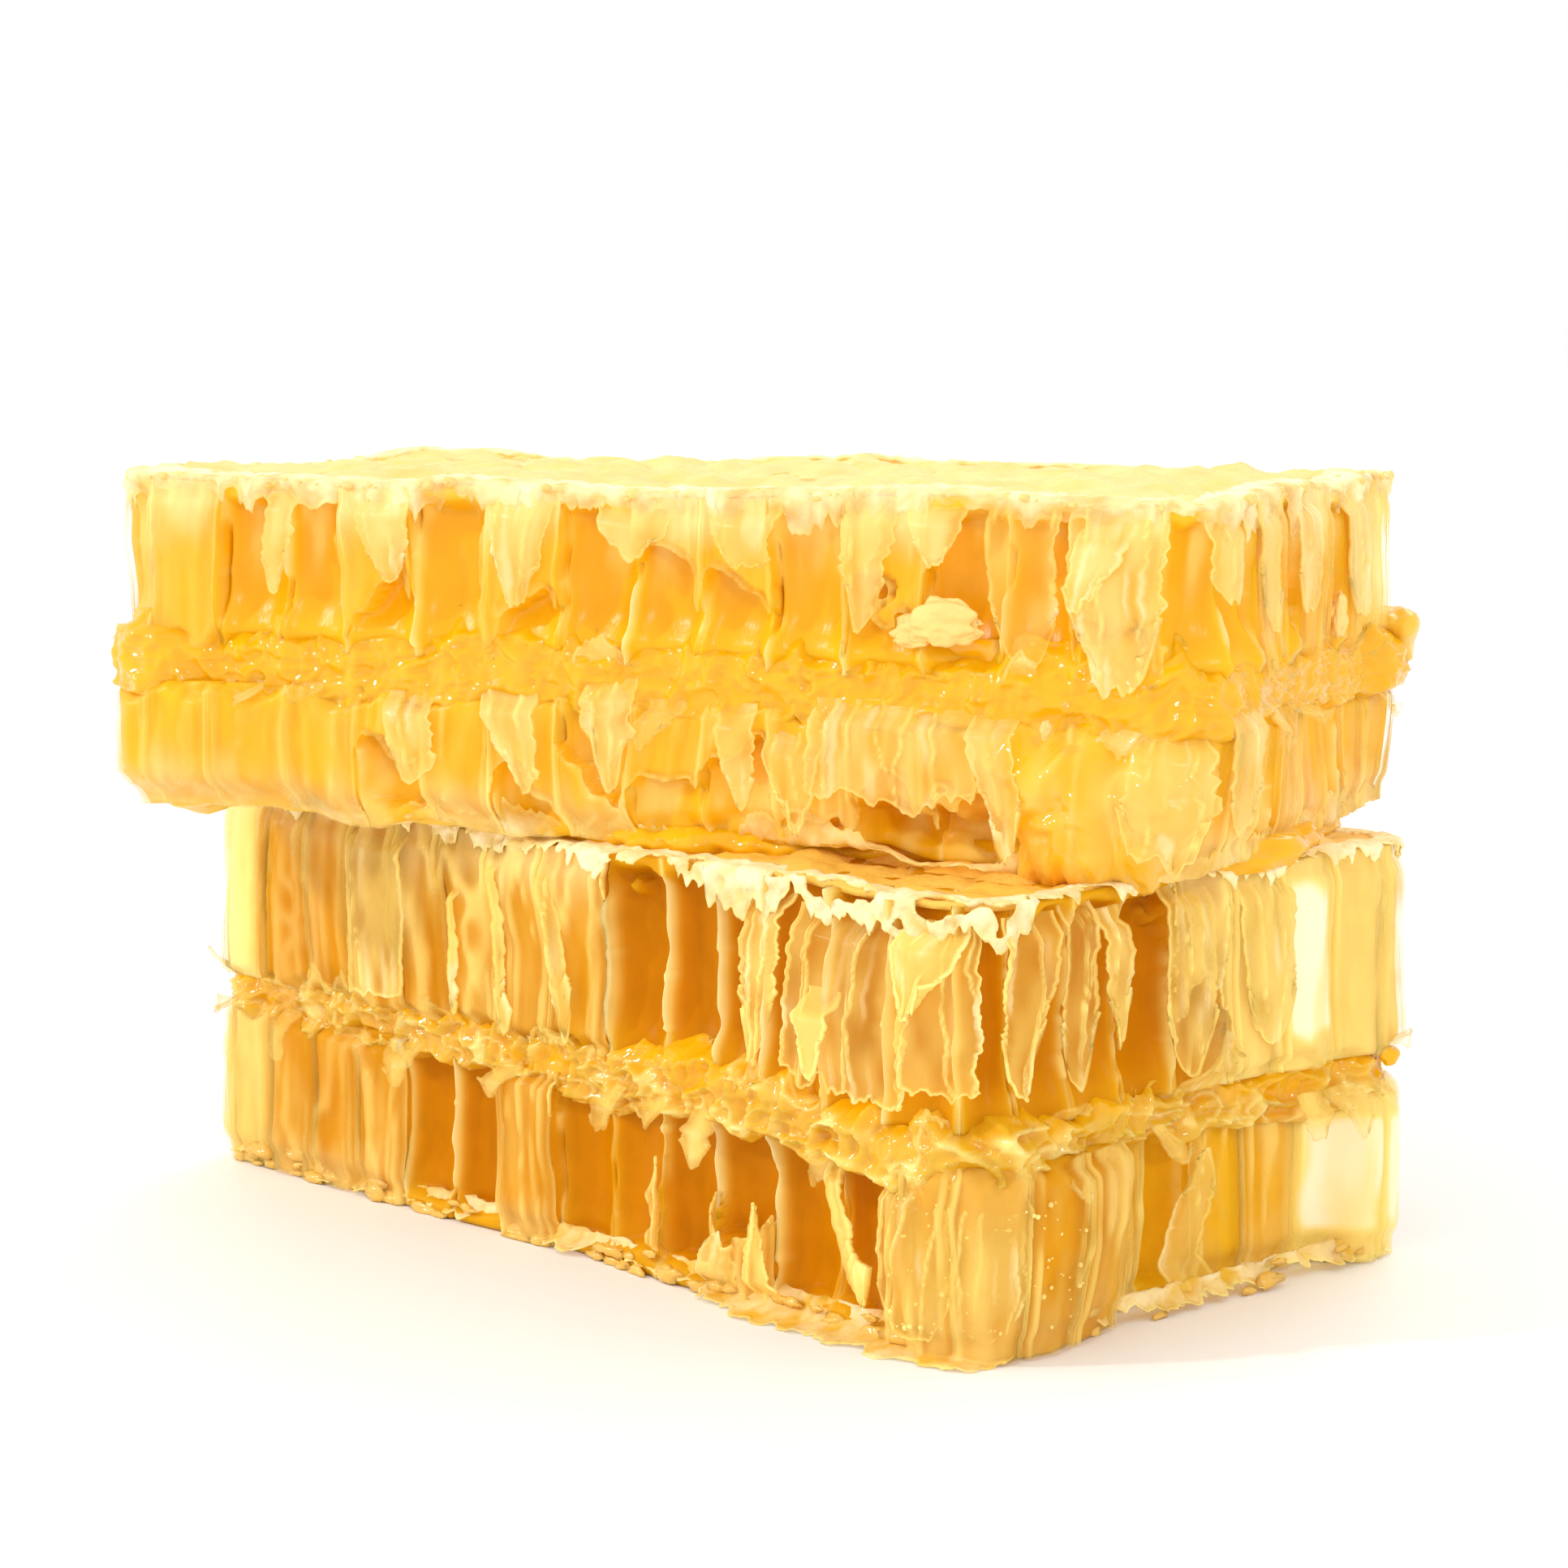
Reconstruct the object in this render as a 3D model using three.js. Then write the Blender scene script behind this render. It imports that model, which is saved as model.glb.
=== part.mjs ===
// A block of cut honeycomb: two slabs of capped comb, the upper one lying turned on the lower one.
// Each slab is five layers: a wax capping, a layer of upright cells full of honey, the wax midrib,
// a second layer of cells, and a second capping. The four cut sides show the cells: some are sliced
// open as upright troughs between thin wax fins, others stand whole as rounded ribs, and some keep
// only a torn upper or lower part of their outer wall.
// Millimetres, +Z up. The origin is the middle of the lower slab's flat underside. The lower slab's
// long side runs along X.
import * as THREE from "three";

// Driving dimensions.
const SLAB_LENGTH = 76;
const SLAB_WIDTH = 40;
const CORNER_RADIUS = 4;
const LOWER_THICKNESS = 27;
const UPPER_THICKNESS = 22;
const CAPPING_THICKNESS = 0.9;
const UPPER_TURN = THREE.MathUtils.degToRad(22.4);
const UPPER_SHIFT = -1.5; // of the upper slab's middle, along Y
const LAYER_GAP = 0.3; // clear space between two layers' solids

// What a knife leaves of the cells, measured inwards from the slab's nominal side.
const OPEN_DEPTH = 2.3;
const DRAINED_DEPTH = 1.5;
const RIB_STANDS_OUT = 0.7;
const FIN_THICKNESS = 0.6;
const FIN_RAGGEDNESS = 0.9;
const SIDE_SWAY = 0.3;
const SWAY_LEAN = 9; // how far the sway moves along from one rim to the next

// Where a torn wall ends, as a share of its layer's height, and the height of its lip.
const TORN_LOWEST = 0.25;
const TORN_HIGHEST = 0.55;
const TORN_LIP = 0.8;

// The shape across a cell, from wall to wall: a share of its width, and a share of its depth.
const ACROSS = [[0.16, 0.8], [0.5, 1], [0.84, 0.8]];

// Edges of cappings and midribs: for each rim a share of the height, and how far it stands out.
const CAPPING_PROFILE = [[0, 0.2], [0.55, 0.7], [1, 0.1]];
const CAPPING_COLUMNS = 88;
const CAPPING_WAVE = 0.5;
const MIDRIB_PROFILE = [[0, -0.6], [0.5, 0.8], [1, -0.5]];
const MIDRIB_COLUMNS = 108;
const MIDRIB_WAVE = 0.8;
const EDGE_LEAN = 3;

// The domed caps of the cells, on a hexagonal lattice over a capping's top.
const CELL_PITCH = 5.2;
const CAP_RELIEF = 0.45;
const CAP_DRIFT = 1.3; // how far the rows of cells wander, in radians of the lattice
const RELIEF_RINGS = [0.12, 0.27, 0.42, 0.57, 0.72, 0.87]; // from the edge, 0, to the middle, 1

const TAU = 2 * Math.PI;
const FACES = [SLAB_LENGTH, SLAB_WIDTH, SLAB_LENGTH, SLAB_WIDTH]; // front, right, back, left
const ROUND = 2 * (SLAB_LENGTH + SLAB_WIDTH);

// Where each face after the front starts along the way round.
const RIGHT = SLAB_LENGTH;
const BACK = RIGHT + SLAB_WIDTH;
const LEFT = BACK + SLAB_LENGTH;

// A repeatable number from 0 to 1 for a whole number and a seed.
function chance(index, seed) {
  const wave = Math.sin(index * 12.9898 + seed * 78.233) * 43758.5453;
  return wave - Math.floor(wave);
}

// A soft unevenness along the way round, from -1 to 1, that closes on itself.
function unevenness(along, seed) {
  let sum = 0;
  for (const [turns, share] of [[7, 0.4], [17, 0.35], [31, 0.25]]) {
    sum += share * Math.sin((TAU * turns * along) / ROUND + TAU * chance(turns, seed));
  }
  return sum;
}

// A smooth hump of height 1 between from and to, fading over soft at both ends.
function hump(along, from, to, soft) {
  const here = THREE.MathUtils.euclideanModulo(along - (from - soft), ROUND);
  const rise = THREE.MathUtils.smoothstep(here, 0, soft);
  const fall = THREE.MathUtils.smoothstep(here, to - from + soft, to - from + 2 * soft);
  return rise - fall;
}

// How far a list of humps moves the side out at a place.
function bulge(bulges, along) {
  return bulges.reduce((sum, { from, to, soft, out }) => sum + out * hump(along, from, to, soft), 0);
}

// The point at a distance along the way round the slab, moved out by a distance. The way starts at
// the front left corner and runs front, right, back, left. A corner's round takes up the last and
// first CORNER_RADIUS of the two faces that meet there.
function sidePoint(along, out) {
  let rest = THREE.MathUtils.euclideanModulo(along, ROUND);
  let face = 0;
  while (rest >= FACES[face]) {
    rest -= FACES[face];
    face += 1;
  }
  const length = FACES[face];
  const away = FACES[(face + 1) % 4] / 2; // from the slab's middle to this face
  const straight = length / 2 - CORNER_RADIUS;
  const past = rest - length / 2;
  const bend = Math.max(0, Math.abs(past) - straight) / CORNER_RADIUS;
  const angle = Math.sign(past) * bend * (Math.PI / 4);
  const radius = CORNER_RADIUS + out;
  const x = THREE.MathUtils.clamp(past, -straight, straight) + radius * Math.sin(angle);
  const y = -(away - CORNER_RADIUS) - radius * Math.cos(angle);
  return new THREE.Vector2(x, y).rotateAround(new THREE.Vector2(), (face * Math.PI) / 2);
}

// The cell walls' places along the way round: a first wall and a pitch for each pair of faces.
function wallPlaces({ longFirst, longPitch, shortFirst, shortPitch }) {
  const walls = [];
  let start = 0;
  FACES.forEach((length, face) => {
    const first = face % 2 ? shortFirst : longFirst;
    const pitch = face % 2 ? shortPitch : longPitch;
    for (let place = first; place < length - 1; place += pitch) walls.push(start + place);
    start += length;
  });
  return walls;
}

// How far in the middle of a cell lies, below and above its torn edge. O is open, K is whole, E is
// drained, T keeps its upper wall and B its lower wall.
const CELL_DEPTHS = {
  O: [OPEN_DEPTH, OPEN_DEPTH],
  K: [-RIB_STANDS_OUT, -RIB_STANDS_OUT],
  E: [DRAINED_DEPTH, DRAINED_DEPTH],
  T: [OPEN_DEPTH, -RIB_STANDS_OUT],
  B: [-RIB_STANDS_OUT, OPEN_DEPTH],
};

// The four rims of a cell layer, from its floor to its top. Each rim is a list of points, and the two
// middle rims follow the torn edges.
function cellRims({ low, high, cells, pitches, bulges, seed }) {
  const walls = wallPlaces(pitches);
  const rims = [[], [], [], []];
  walls.forEach((wall, i) => {
    const next = i + 1 < walls.length ? walls[i + 1] : walls[0] + ROUND;
    const depths = CELL_DEPTHS[cells[i]];
    const torn = low + (high - low) * THREE.MathUtils.lerp(TORN_LOWEST, TORN_HIGHEST, chance(i, seed + 1));
    const fin = -FIN_RAGGEDNESS * chance(i, seed + 2);
    const levels = [low, torn, torn + TORN_LIP, high];
    const columns = [
      [wall - FIN_THICKNESS / 2, [fin, fin]],
      [wall + FIN_THICKNESS / 2, [fin, fin]],
      ...ACROSS.map(([share, deep]) => [wall + share * (next - wall), depths.map((d) => -deep * d)]),
    ];
    for (const [along, outs] of columns) {
      levels.forEach((z, row) => {
        const sway = SIDE_SWAY * unevenness(along + SWAY_LEAN * row, seed + 3);
        const out = outs[row < 2 ? 0 : 1] + bulge(bulges, along) + sway;
        rims[row].push(new THREE.Vector3(...sidePoint(along, out), z));
      });
    }
  });
  return rims;
}

// The rims of a layer with a plain uneven edge: a capping or a midrib.
function edgeRims({ low, high, profile, columns, wave, bulges, seed }) {
  return profile.map(([share, stands], row) => {
    const rim = [];
    for (let i = 0; i < columns; i += 1) {
      const along = (ROUND * i) / columns;
      const out = stands + wave * unevenness(along + EDGE_LEAN * row, seed) + bulge(bulges, along);
      rim.push(new THREE.Vector3(...sidePoint(along, out), low + share * (high - low)));
    }
    return rim;
  });
}

// How far a capping lies under its highest level at a place: least on the middle of a capped cell,
// and most between three cells.
function capRelief(x, y, seed) {
  const wave = TAU / (CELL_PITCH * Math.cos(Math.PI / 6));
  const drift = CAP_DRIFT * Math.sin(0.21 * x + seed);
  let dome = 0;
  for (const turn of [0, 1, 2]) {
    const angle = (turn * Math.PI) / 3;
    dome += Math.cos(wave * (x * Math.cos(angle) + y * Math.sin(angle)) + drift);
  }
  const hollow = 1 - (dome + 1.5) / 4.5; // the three waves add up to between -1.5 and 3
  const wrinkle = 0.5 + 0.5 * Math.sin(0.47 * x + 0.31 * y + seed);
  return CAP_RELIEF * THREE.MathUtils.lerp(hollow, wrinkle, 0.3);
}

// Rims drawn in from a capping's upper rim, one inside the other, over its domed cells.
function capRings(rim, seed) {
  return RELIEF_RINGS.map((share) =>
    rim.map((point) => {
      const x = point.x * (1 - (share * SLAB_WIDTH) / SLAB_LENGTH);
      const y = point.y * (1 - share);
      return new THREE.Vector3(x, y, point.z - capRelief(x, y, seed));
    }),
  );
}

// One closed solid through rims of equal length, its first and last rim closed flat.
function loft(rims) {
  const count = rims[0].length;
  const positions = rims.flat().flatMap((point) => [point.x, point.y, point.z]);
  const index = [];
  for (let row = 0; row + 1 < rims.length; row += 1) {
    for (let i = 0; i < count; i += 1) {
      const [a, b] = [row * count + i, row * count + ((i + 1) % count)];
      index.push(a, b, b + count, a, b + count, a + count);
    }
  }
  const last = (rims.length - 1) * count;
  for (const [start, rim, turned] of [[0, rims[0], true], [last, rims.at(-1), false]]) {
    const flat = rim.map((point) => new THREE.Vector2(point.x, point.y));
    for (const [a, b, c] of THREE.ShapeUtils.triangulateShape(flat, [])) {
      index.push(start + a, start + (turned ? c : b), start + (turned ? b : c));
    }
  }
  const geometry = new THREE.BufferGeometry();
  geometry.setAttribute("position", new THREE.Float32BufferAttribute(positions, 3));
  geometry.setIndex(index);
  geometry.computeVertexNormals();
  return geometry;
}

const FINISHES = {
  lowerCells: { color: 0xd98b18, roughness: 0.3 },
  upperCells: { color: 0xf2b12c, roughness: 0.3 },
  midrib: { color: 0xecbd3e, roughness: 0.35 },
  capping: { color: 0xf9df9c, roughness: 0.55 },
};

function layerMesh(name, rims, finish) {
  const material = new THREE.MeshStandardMaterial({ metalness: 0, ...finish });
  const mesh = new THREE.Mesh(loft(rims), material);
  mesh.name = name;
  return mesh;
}

function cappingMesh(part, low) {
  const shape = { profile: CAPPING_PROFILE, columns: CAPPING_COLUMNS, wave: CAPPING_WAVE };
  const rims = edgeRims({ low, high: low + CAPPING_THICKNESS, ...shape, ...part });
  if (part.domed) rims.push(...capRings(rims.at(-1), part.seed));
  return layerMesh(part.name, rims, FINISHES.capping);
}

function midribMesh(part) {
  const shape = { profile: MIDRIB_PROFILE, columns: MIDRIB_COLUMNS, wave: MIDRIB_WAVE };
  return layerMesh(part.name, edgeRims({ ...shape, ...part }), FINISHES.midrib);
}

// A slab as a group of its five layers, its underside at z 0.
function slab({ thickness, pitches, finish, bottomCapping, bottomCells, midrib, topCells, topCapping }) {
  const lowest = CAPPING_THICKNESS + LAYER_GAP;
  const highest = thickness - CAPPING_THICKNESS - LAYER_GAP;
  const bottomSpan = { low: lowest, high: midrib.low - LAYER_GAP, pitches };
  const topSpan = { low: midrib.high + LAYER_GAP, high: highest, pitches };
  const group = new THREE.Group();
  group.add(
    cappingMesh(bottomCapping, 0),
    layerMesh(bottomCells.name, cellRims({ ...bottomSpan, ...bottomCells }), finish),
    midribMesh(midrib),
    layerMesh(topCells.name, cellRims({ ...topSpan, ...topCells }), finish),
    cappingMesh(topCapping, thickness - CAPPING_THICKNESS),
  );
  return group;
}

// The lower half of the lower slab's right side has lost a row of cells.
const LOST_ROW = { from: RIGHT + 15, to: RIGHT + 33, soft: 3 };

// Cells are listed along the way round: fourteen on a long face, one at a corner, seven on a short
// face, one at the next corner, and so on.
const LOWER = {
  thickness: LOWER_THICKNESS,
  pitches: { longFirst: 1.7, longPitch: 5.2, shortFirst: 3.2, shortPitch: 4.8 },
  finish: FINISHES.lowerCells,
  bottomCapping: {
    name: "lower_bottom_capping",
    bulges: [
      { from: 50, to: RIGHT + 10, soft: 4, out: 0.9 },
      { ...LOST_ROW, out: -3 },
    ],
    seed: 3,
  },
  bottomCells: {
    name: "lower_bottom_cells",
    cells: "EKKKOOKOOOBOOK" + "K" + "KKKKOEE" + "K" + "OKKOBOOKTOKOOK" + "K" + "OKBOKOK" + "K",
    bulges: [
      { from: RIGHT - 2, to: RIGHT + 8, soft: 3, out: 0.9 },
      { ...LOST_ROW, out: -3 },
    ],
    seed: 11,
  },
  midrib: {
    name: "lower_midrib",
    low: 11,
    high: 14,
    bulges: [
      { from: 56, to: RIGHT + 4, soft: 5, out: 0.9 },
      { ...LOST_ROW, out: -1 },
    ],
    seed: 7,
  },
  topCells: {
    name: "lower_top_cells",
    cells: "EOOKKKKKOOTTTT" + "T" + "TKOTOKE" + "E" + "KOTOKKOBOKOTOK" + "O" + "TOKOKBO" + "K",
    bulges: [{ from: 57, to: RIGHT - 2, soft: 3, out: 0.7 }],
    seed: 23,
  },
  topCapping: {
    name: "lower_top_capping",
    domed: true,
    bulges: [{ from: 58, to: RIGHT - 2, soft: 3, out: 0.8 }],
    seed: 5,
  },
};

// The upper slab has a dark hollow under its front side, a drooping swell of honey beside that, and
// a swollen left end.
const UPPER = {
  thickness: UPPER_THICKNESS,
  pitches: { longFirst: 3.6, longPitch: 4.93, shortFirst: 3, shortPitch: 4.85 },
  finish: FINISHES.upperCells,
  bottomCapping: {
    name: "upper_bottom_capping",
    bulges: [
      { from: 55, to: 61, soft: 2.5, out: -4.5 },
      { from: 67, to: RIGHT, soft: 3, out: 1.9 },
      { from: LEFT + 4, to: LEFT + 36, soft: 5, out: 0.8 },
    ],
    seed: 31,
  },
  bottomCells: {
    name: "upper_bottom_cells",
    cells: "KKKKKTKKKTTTKK" + "K" + "KOKKOKK" + "K" + "KOTKOKKBOOTKOK" + "K" + "OKKKOKK" + "K",
    bulges: [
      { from: 66, to: RIGHT + 1, soft: 4, out: 2.4 },
      { from: LEFT + 4, to: LEFT + 36, soft: 6, out: 1.3 },
    ],
    seed: 41,
  },
  midrib: {
    name: "upper_midrib",
    low: 8.2,
    high: 11.6,
    bulges: [
      { from: 14, to: 52, soft: 8, out: -0.5 },
      { from: 64, to: RIGHT, soft: 4, out: 1.2 },
      { from: RIGHT + 34, to: BACK + 1, soft: 2.5, out: 1.4 },
      { from: LEFT + 14, to: LEFT + 37, soft: 5, out: 1.4 },
    ],
    seed: 37,
  },
  topCells: {
    name: "upper_top_cells",
    cells: "KOOTOTOTTOTOOT" + "O" + "OKOKOKK" + "K" + "OTOKOBKOOTOKTO" + "K" + "KOTOKOK" + "O",
    bulges: [],
    seed: 53,
  },
  topCapping: {
    name: "upper_top_capping",
    domed: true,
    bulges: [],
    seed: 47,
  },
};

const lowerSlab = slab(LOWER);
const upperSlab = slab(UPPER);
upperSlab.position.set(0, UPPER_SHIFT, LOWER_THICKNESS + LAYER_GAP);
upperSlab.rotation.z = UPPER_TURN;

const honeycomb = new THREE.Group();
honeycomb.add(lowerSlab, upperSlab);
export default honeycomb;
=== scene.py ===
import math
from types import SimpleNamespace

import bpy
import numpy as np
from bpy.props import FloatProperty, FloatVectorProperty, PointerProperty
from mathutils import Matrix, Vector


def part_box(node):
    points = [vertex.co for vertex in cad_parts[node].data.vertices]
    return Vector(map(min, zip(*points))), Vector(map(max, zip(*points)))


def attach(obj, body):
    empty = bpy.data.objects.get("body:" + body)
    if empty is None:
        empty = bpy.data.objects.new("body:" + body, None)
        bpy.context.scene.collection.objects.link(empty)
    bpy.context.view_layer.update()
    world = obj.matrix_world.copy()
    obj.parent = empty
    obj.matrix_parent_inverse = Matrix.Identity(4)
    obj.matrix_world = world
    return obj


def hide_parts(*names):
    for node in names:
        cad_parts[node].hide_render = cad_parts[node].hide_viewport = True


bl_info = {
    "name": "Cut honeycomb",
    "version": (1, 0, 0),
    "blender": (4, 5, 0),
    "location": "View3D > Sidebar > Honeycomb",
    "description": "Dresses a block of two comb slabs: honey cells, midribs, cappings, torn wax and honey",
    "category": "Add Mesh",
}

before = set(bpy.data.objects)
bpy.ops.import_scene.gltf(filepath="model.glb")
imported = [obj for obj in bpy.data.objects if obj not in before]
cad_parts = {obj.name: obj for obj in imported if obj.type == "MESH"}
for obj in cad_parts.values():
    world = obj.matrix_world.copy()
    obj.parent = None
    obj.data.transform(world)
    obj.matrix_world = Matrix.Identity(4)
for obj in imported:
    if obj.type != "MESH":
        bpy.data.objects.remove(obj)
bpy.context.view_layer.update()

# Places round a slab are in millimetres along its outline, heights in millimetres over its underside.
MM = 0.001
SLAB_LENGTH = 76.0
SLAB_WIDTH = 40.0
CORNER_RADIUS = 4.0
FACES = np.array([SLAB_LENGTH, SLAB_WIDTH, SLAB_LENGTH, SLAB_WIDTH])
FACE_STARTS = np.concatenate([[0.0], np.cumsum(FACES)[:-1]])
ROUND = float(FACES.sum())
RIGHT, BACK, LEFT = FACE_STARTS[1:]
FLOOR_GAP = 0.03  # between the lowest wax and the floor
FLOOR_HALF = 3.0  # metres

LAYER_ORDER = ("bottom_capping", "bottom_cells", "midrib", "top_cells", "top_capping")
CELL_PITCH = 5.2  # between the middles of the domes on a capping
CELL_COLUMNS = 24  # in a cell of a cell layer
CELL_ROW = 0.28  # height of a row of a cell layer
CROWDING = 0.115  # how much closer together the columns lie near a wall
FIN_WIDTH = 0.2  # of the thin fin of honey and wax at a wall
UNDER_WAX = 0.45  # how far the honey lies under whole wall wax
MIDRIB_GRID = (36, 1160)  # rows and columns
POUCH_GRID = (104, 156)
GLUE_GRID = (12, 720)
SMALLEST_SCRAP = 40  # faces
SHEET_ROOT = -0.6  # how far in a sheet's fixed edge lies
SOFT_BEND = 0.22  # how softly a rim turns over an edge
WALL_FILMS = 0.8  # thickness of the cells' wall wax, in films
POUCH_THICKNESS = 0.35
RIM_CRUMBS = 450  # how many of each
FOOT_LUMPS = 130
BUBBLES = 90


def srgb(red, green, blue):
    """A colour given as 0 to 255 steps, turned into linear light: the power 2.4 curve with its foot."""
    steps = np.array([red, green, blue]) / 255.0
    curve = ((steps + 0.055) / 1.055) ** 2.4
    return tuple(float(x) for x in np.where(steps <= 0.04045, steps / 12.92, curve))


def mix(a, b, share):
    """Two colours, or arrays of them, blended in a straight line by a share from 0 to 1."""
    part = np.clip(np.asarray(share, float), 0.0, 1.0)[..., None]
    return np.asarray(a) * (1.0 - part) + np.asarray(b) * part


def bleach(tint, share):
    """A tint turned pale: up to a share of a half to the colour of a wax edge, beyond it to near white."""
    return mix(mix(tint, colours().line, 2.0 * share), colours().window, 2.0 * share - 1.0)


def smooth(low, high, x):
    """The S-curve 3t^2 - 2t^3, with t running from 0 at low to 1 at high."""
    t = np.clip((np.asarray(x, float) - low) / (high - low), 0.0, 1.0)
    return t * t * (3.0 - 2.0 * t)


def bell(x, width):
    """The bell curve exp(-(x / width)^2)."""
    return np.exp(-((x / width) ** 2))


def lattice(i, j, k, seed):
    """A random number from -1 to 1 for each corner of a cubic lattice: an integer hash of its place."""
    mask = np.uint64(0xFFFFFFFF)
    h = i.astype(np.uint64) * np.uint64(374761393) + j.astype(np.uint64) * np.uint64(668265263)
    h = (h + k.astype(np.uint64) * np.uint64(2246822519) + np.uint64(seed * 3266489917 + 1)) & mask
    h = ((h ^ (h >> np.uint64(13))) * np.uint64(1274126177)) & mask
    h = h ^ (h >> np.uint64(16))
    return (h & np.uint64(0xFFFF)).astype(float) / 32767.5 - 1.0


def noise(points, size, seed):
    """Smooth noise from -1 to 1: the lattice's numbers at the eight corners round each point, blended
    by an S-curve. size is the lattice's step, one number or one for each axis."""
    scaled = np.asarray(points, float) / np.asarray(size, float) + 4096.0
    cell = np.floor(scaled)
    part = scaled - cell
    part = part * part * (3.0 - 2.0 * part)
    i, j, k = (cell[..., axis].astype(np.int64) for axis in range(3))
    total = np.zeros(scaled.shape[:-1])
    for di, dj, dk in np.ndindex(2, 2, 2):
        weight = np.abs(1 - di - part[..., 0]) * np.abs(1 - dj - part[..., 1])
        weight = weight * np.abs(1 - dk - part[..., 2])
        total += weight * lattice(i + di, j + dj, k + dk, seed)
    return total


def rough(points, size, seed):
    """Three layers of noise, each half the size of the last and half as strong."""
    steps = ((1.0, 0.57), (0.5, 0.29), (0.25, 0.14))
    return sum(share * noise(points, np.asarray(size) * step, seed + 7 * n)
               for n, (step, share) in enumerate(steps))


def chance(index, seed):
    """A repeatable number from 0 to 1 for each whole number."""
    index = np.asarray(index, np.int64) + 4096
    return 0.5 + 0.5 * lattice(index, index * 0 + 5, index * 0 + 9, seed)


def hump(s, start, end, soft):
    """1 between two places round the outline, fading by S-curves over soft beyond both."""
    here = np.mod(np.asarray(s, float) - (start - soft), ROUND)
    return smooth(0.0, soft, here) - smooth(end - start + soft, end - start + 2 * soft, here)


def swell(s, bulges):
    """The sum of a list of humps (start, end, soft, height)."""
    humps = (out * hump(s, start, end, soft) for start, end, soft, out in bulges)
    return sum(humps, np.zeros(np.shape(s)))


class Slab:
    """One slab of comb: where it lies, the levels of its layers, where its cell walls are, and the
    colours of its deep and its shallow honey. long_walls and short_walls give the first wall, the end
    and the step on a long and on a short face. wavy is how far the foot and the top wander up and
    down, and tuck how far the foot draws in on the left and the front."""

    # colours[0], the deep amber, is also the painted shade that the troughs darken to.
    def __init__(self, name, turn, shift, long_walls, short_walls, colours, wavy, tuck):
        self.name = name
        self.turn = math.radians(turn)
        self.shift = shift
        self.colours = colours
        self.wavy_foot, self.wavy_top = wavy
        self.tuck = tuck
        boxes = {layer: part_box(f"{name}_{layer}") for layer in LAYER_ORDER}
        self.base = boxes["bottom_capping"][0].z / MM
        self.spans = {
            layer: (low.z / MM - self.base, high.z / MM - self.base)
            for layer, (low, high) in boxes.items()
        }
        self.walls = np.concatenate(
            [start + np.arange(*((long_walls, short_walls)[n % 2])) for n, start in enumerate(FACE_STARTS)]
        )
        self.wall_ends = np.append(self.walls[1:], self.walls[0] + ROUND)

    def span(self, layer):
        """A layer's lowest and highest level over the slab's underside, from its solid."""
        return self.spans[layer]

    def side(self, s, out, z):
        """The point at a place round the outline, moved out, at a height: straight runs joined by
        quarter circles, then turned and shifted to where the slab lies. Noise moves the outline in and
        out by up to 0.6 mm. The result is in metres."""
        s, out, z = np.broadcast_arrays(*(np.asarray(v, float) for v in (s, out, z)))
        along = np.mod(s, ROUND)
        face = np.clip(np.searchsorted(FACE_STARTS, along, side="right") - 1, 0, 3)
        length = FACES[face]
        away = FACES[(face + 1) % 4] / 2
        past = along - FACE_STARTS[face] - length / 2
        straight = length / 2 - CORNER_RADIUS
        bend = np.maximum(0.0, np.abs(past) - straight) / CORNER_RADIUS
        angle = np.sign(past) * bend * math.pi / 4
        x = np.clip(past, -straight, straight) + CORNER_RADIUS * np.sin(angle)
        y = -(away - CORNER_RADIUS) - CORNER_RADIUS * np.cos(angle)
        across, ahead = np.sin(angle), -np.cos(angle)
        quarter = face * math.pi / 2
        cosine, sine = np.cos(quarter), np.sin(quarter)
        x, y = x * cosine - y * sine, x * sine + y * cosine
        out = out + 0.6 * noise(np.stack([x, y, z], -1), (13.0, 13.0, 9.0), 601)
        out -= self.tuck * smooth(3.6, 0.0, z) ** 2 * hump(along, LEFT - 10.0, ROUND + 44.0, 8.0)
        z = z + self.waver(x, y, z)
        x = x + out * (across * cosine - ahead * sine)
        y = y + out * (across * sine + ahead * cosine)
        return self.place(x, y, z)

    def waver(self, x, y, z):
        """How far the slab's foot and top wander up and down, which dies away towards the midrib."""
        flat = np.stack([x, y, np.zeros(np.shape(x))], -1)
        low, high = self.span("midrib")
        top = self.span("top_capping")[1]
        drift = self.wavy_top * smooth(high, top, z) * noise(flat, 6.0, 607)
        return drift + self.wavy_foot * smooth(low, 0.0, z) * noise(flat, 5.0, 613)

    def place(self, x, y, z):
        """A point of the slab's own plan, turned and shifted to where the slab lies, in metres. What
        would reach under the floor is pressed flat on it."""
        cosine, sine = math.cos(self.turn), math.sin(self.turn)
        height = np.maximum(z + self.base, FLOOR_GAP)
        return np.stack([x * cosine - y * sine, x * sine + y * cosine + self.shift, height], -1) * MM

    def plan(self, points):
        """The way back from place(): x and y of the slab's own plan, in millimetres."""
        x, y = points[..., 0] / MM, points[..., 1] / MM - self.shift
        cosine, sine = math.cos(self.turn), math.sin(self.turn)
        return x * cosine + y * sine, -x * sine + y * cosine

    def columns(self, each):
        """Places round the outline, each cell cut into the same number of columns that lie closer
        together near its walls: for every column its cell's number, its share of the way across and
        its place."""
        index = np.repeat(np.arange(len(self.walls)), each)
        t = np.tile((np.arange(each) + 0.5) / each, len(self.walls))
        share = t - CROWDING * np.sin(2.0 * math.pi * t)
        return index, share, self.walls[index] + share * (self.wall_ends - self.walls)[index]


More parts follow.
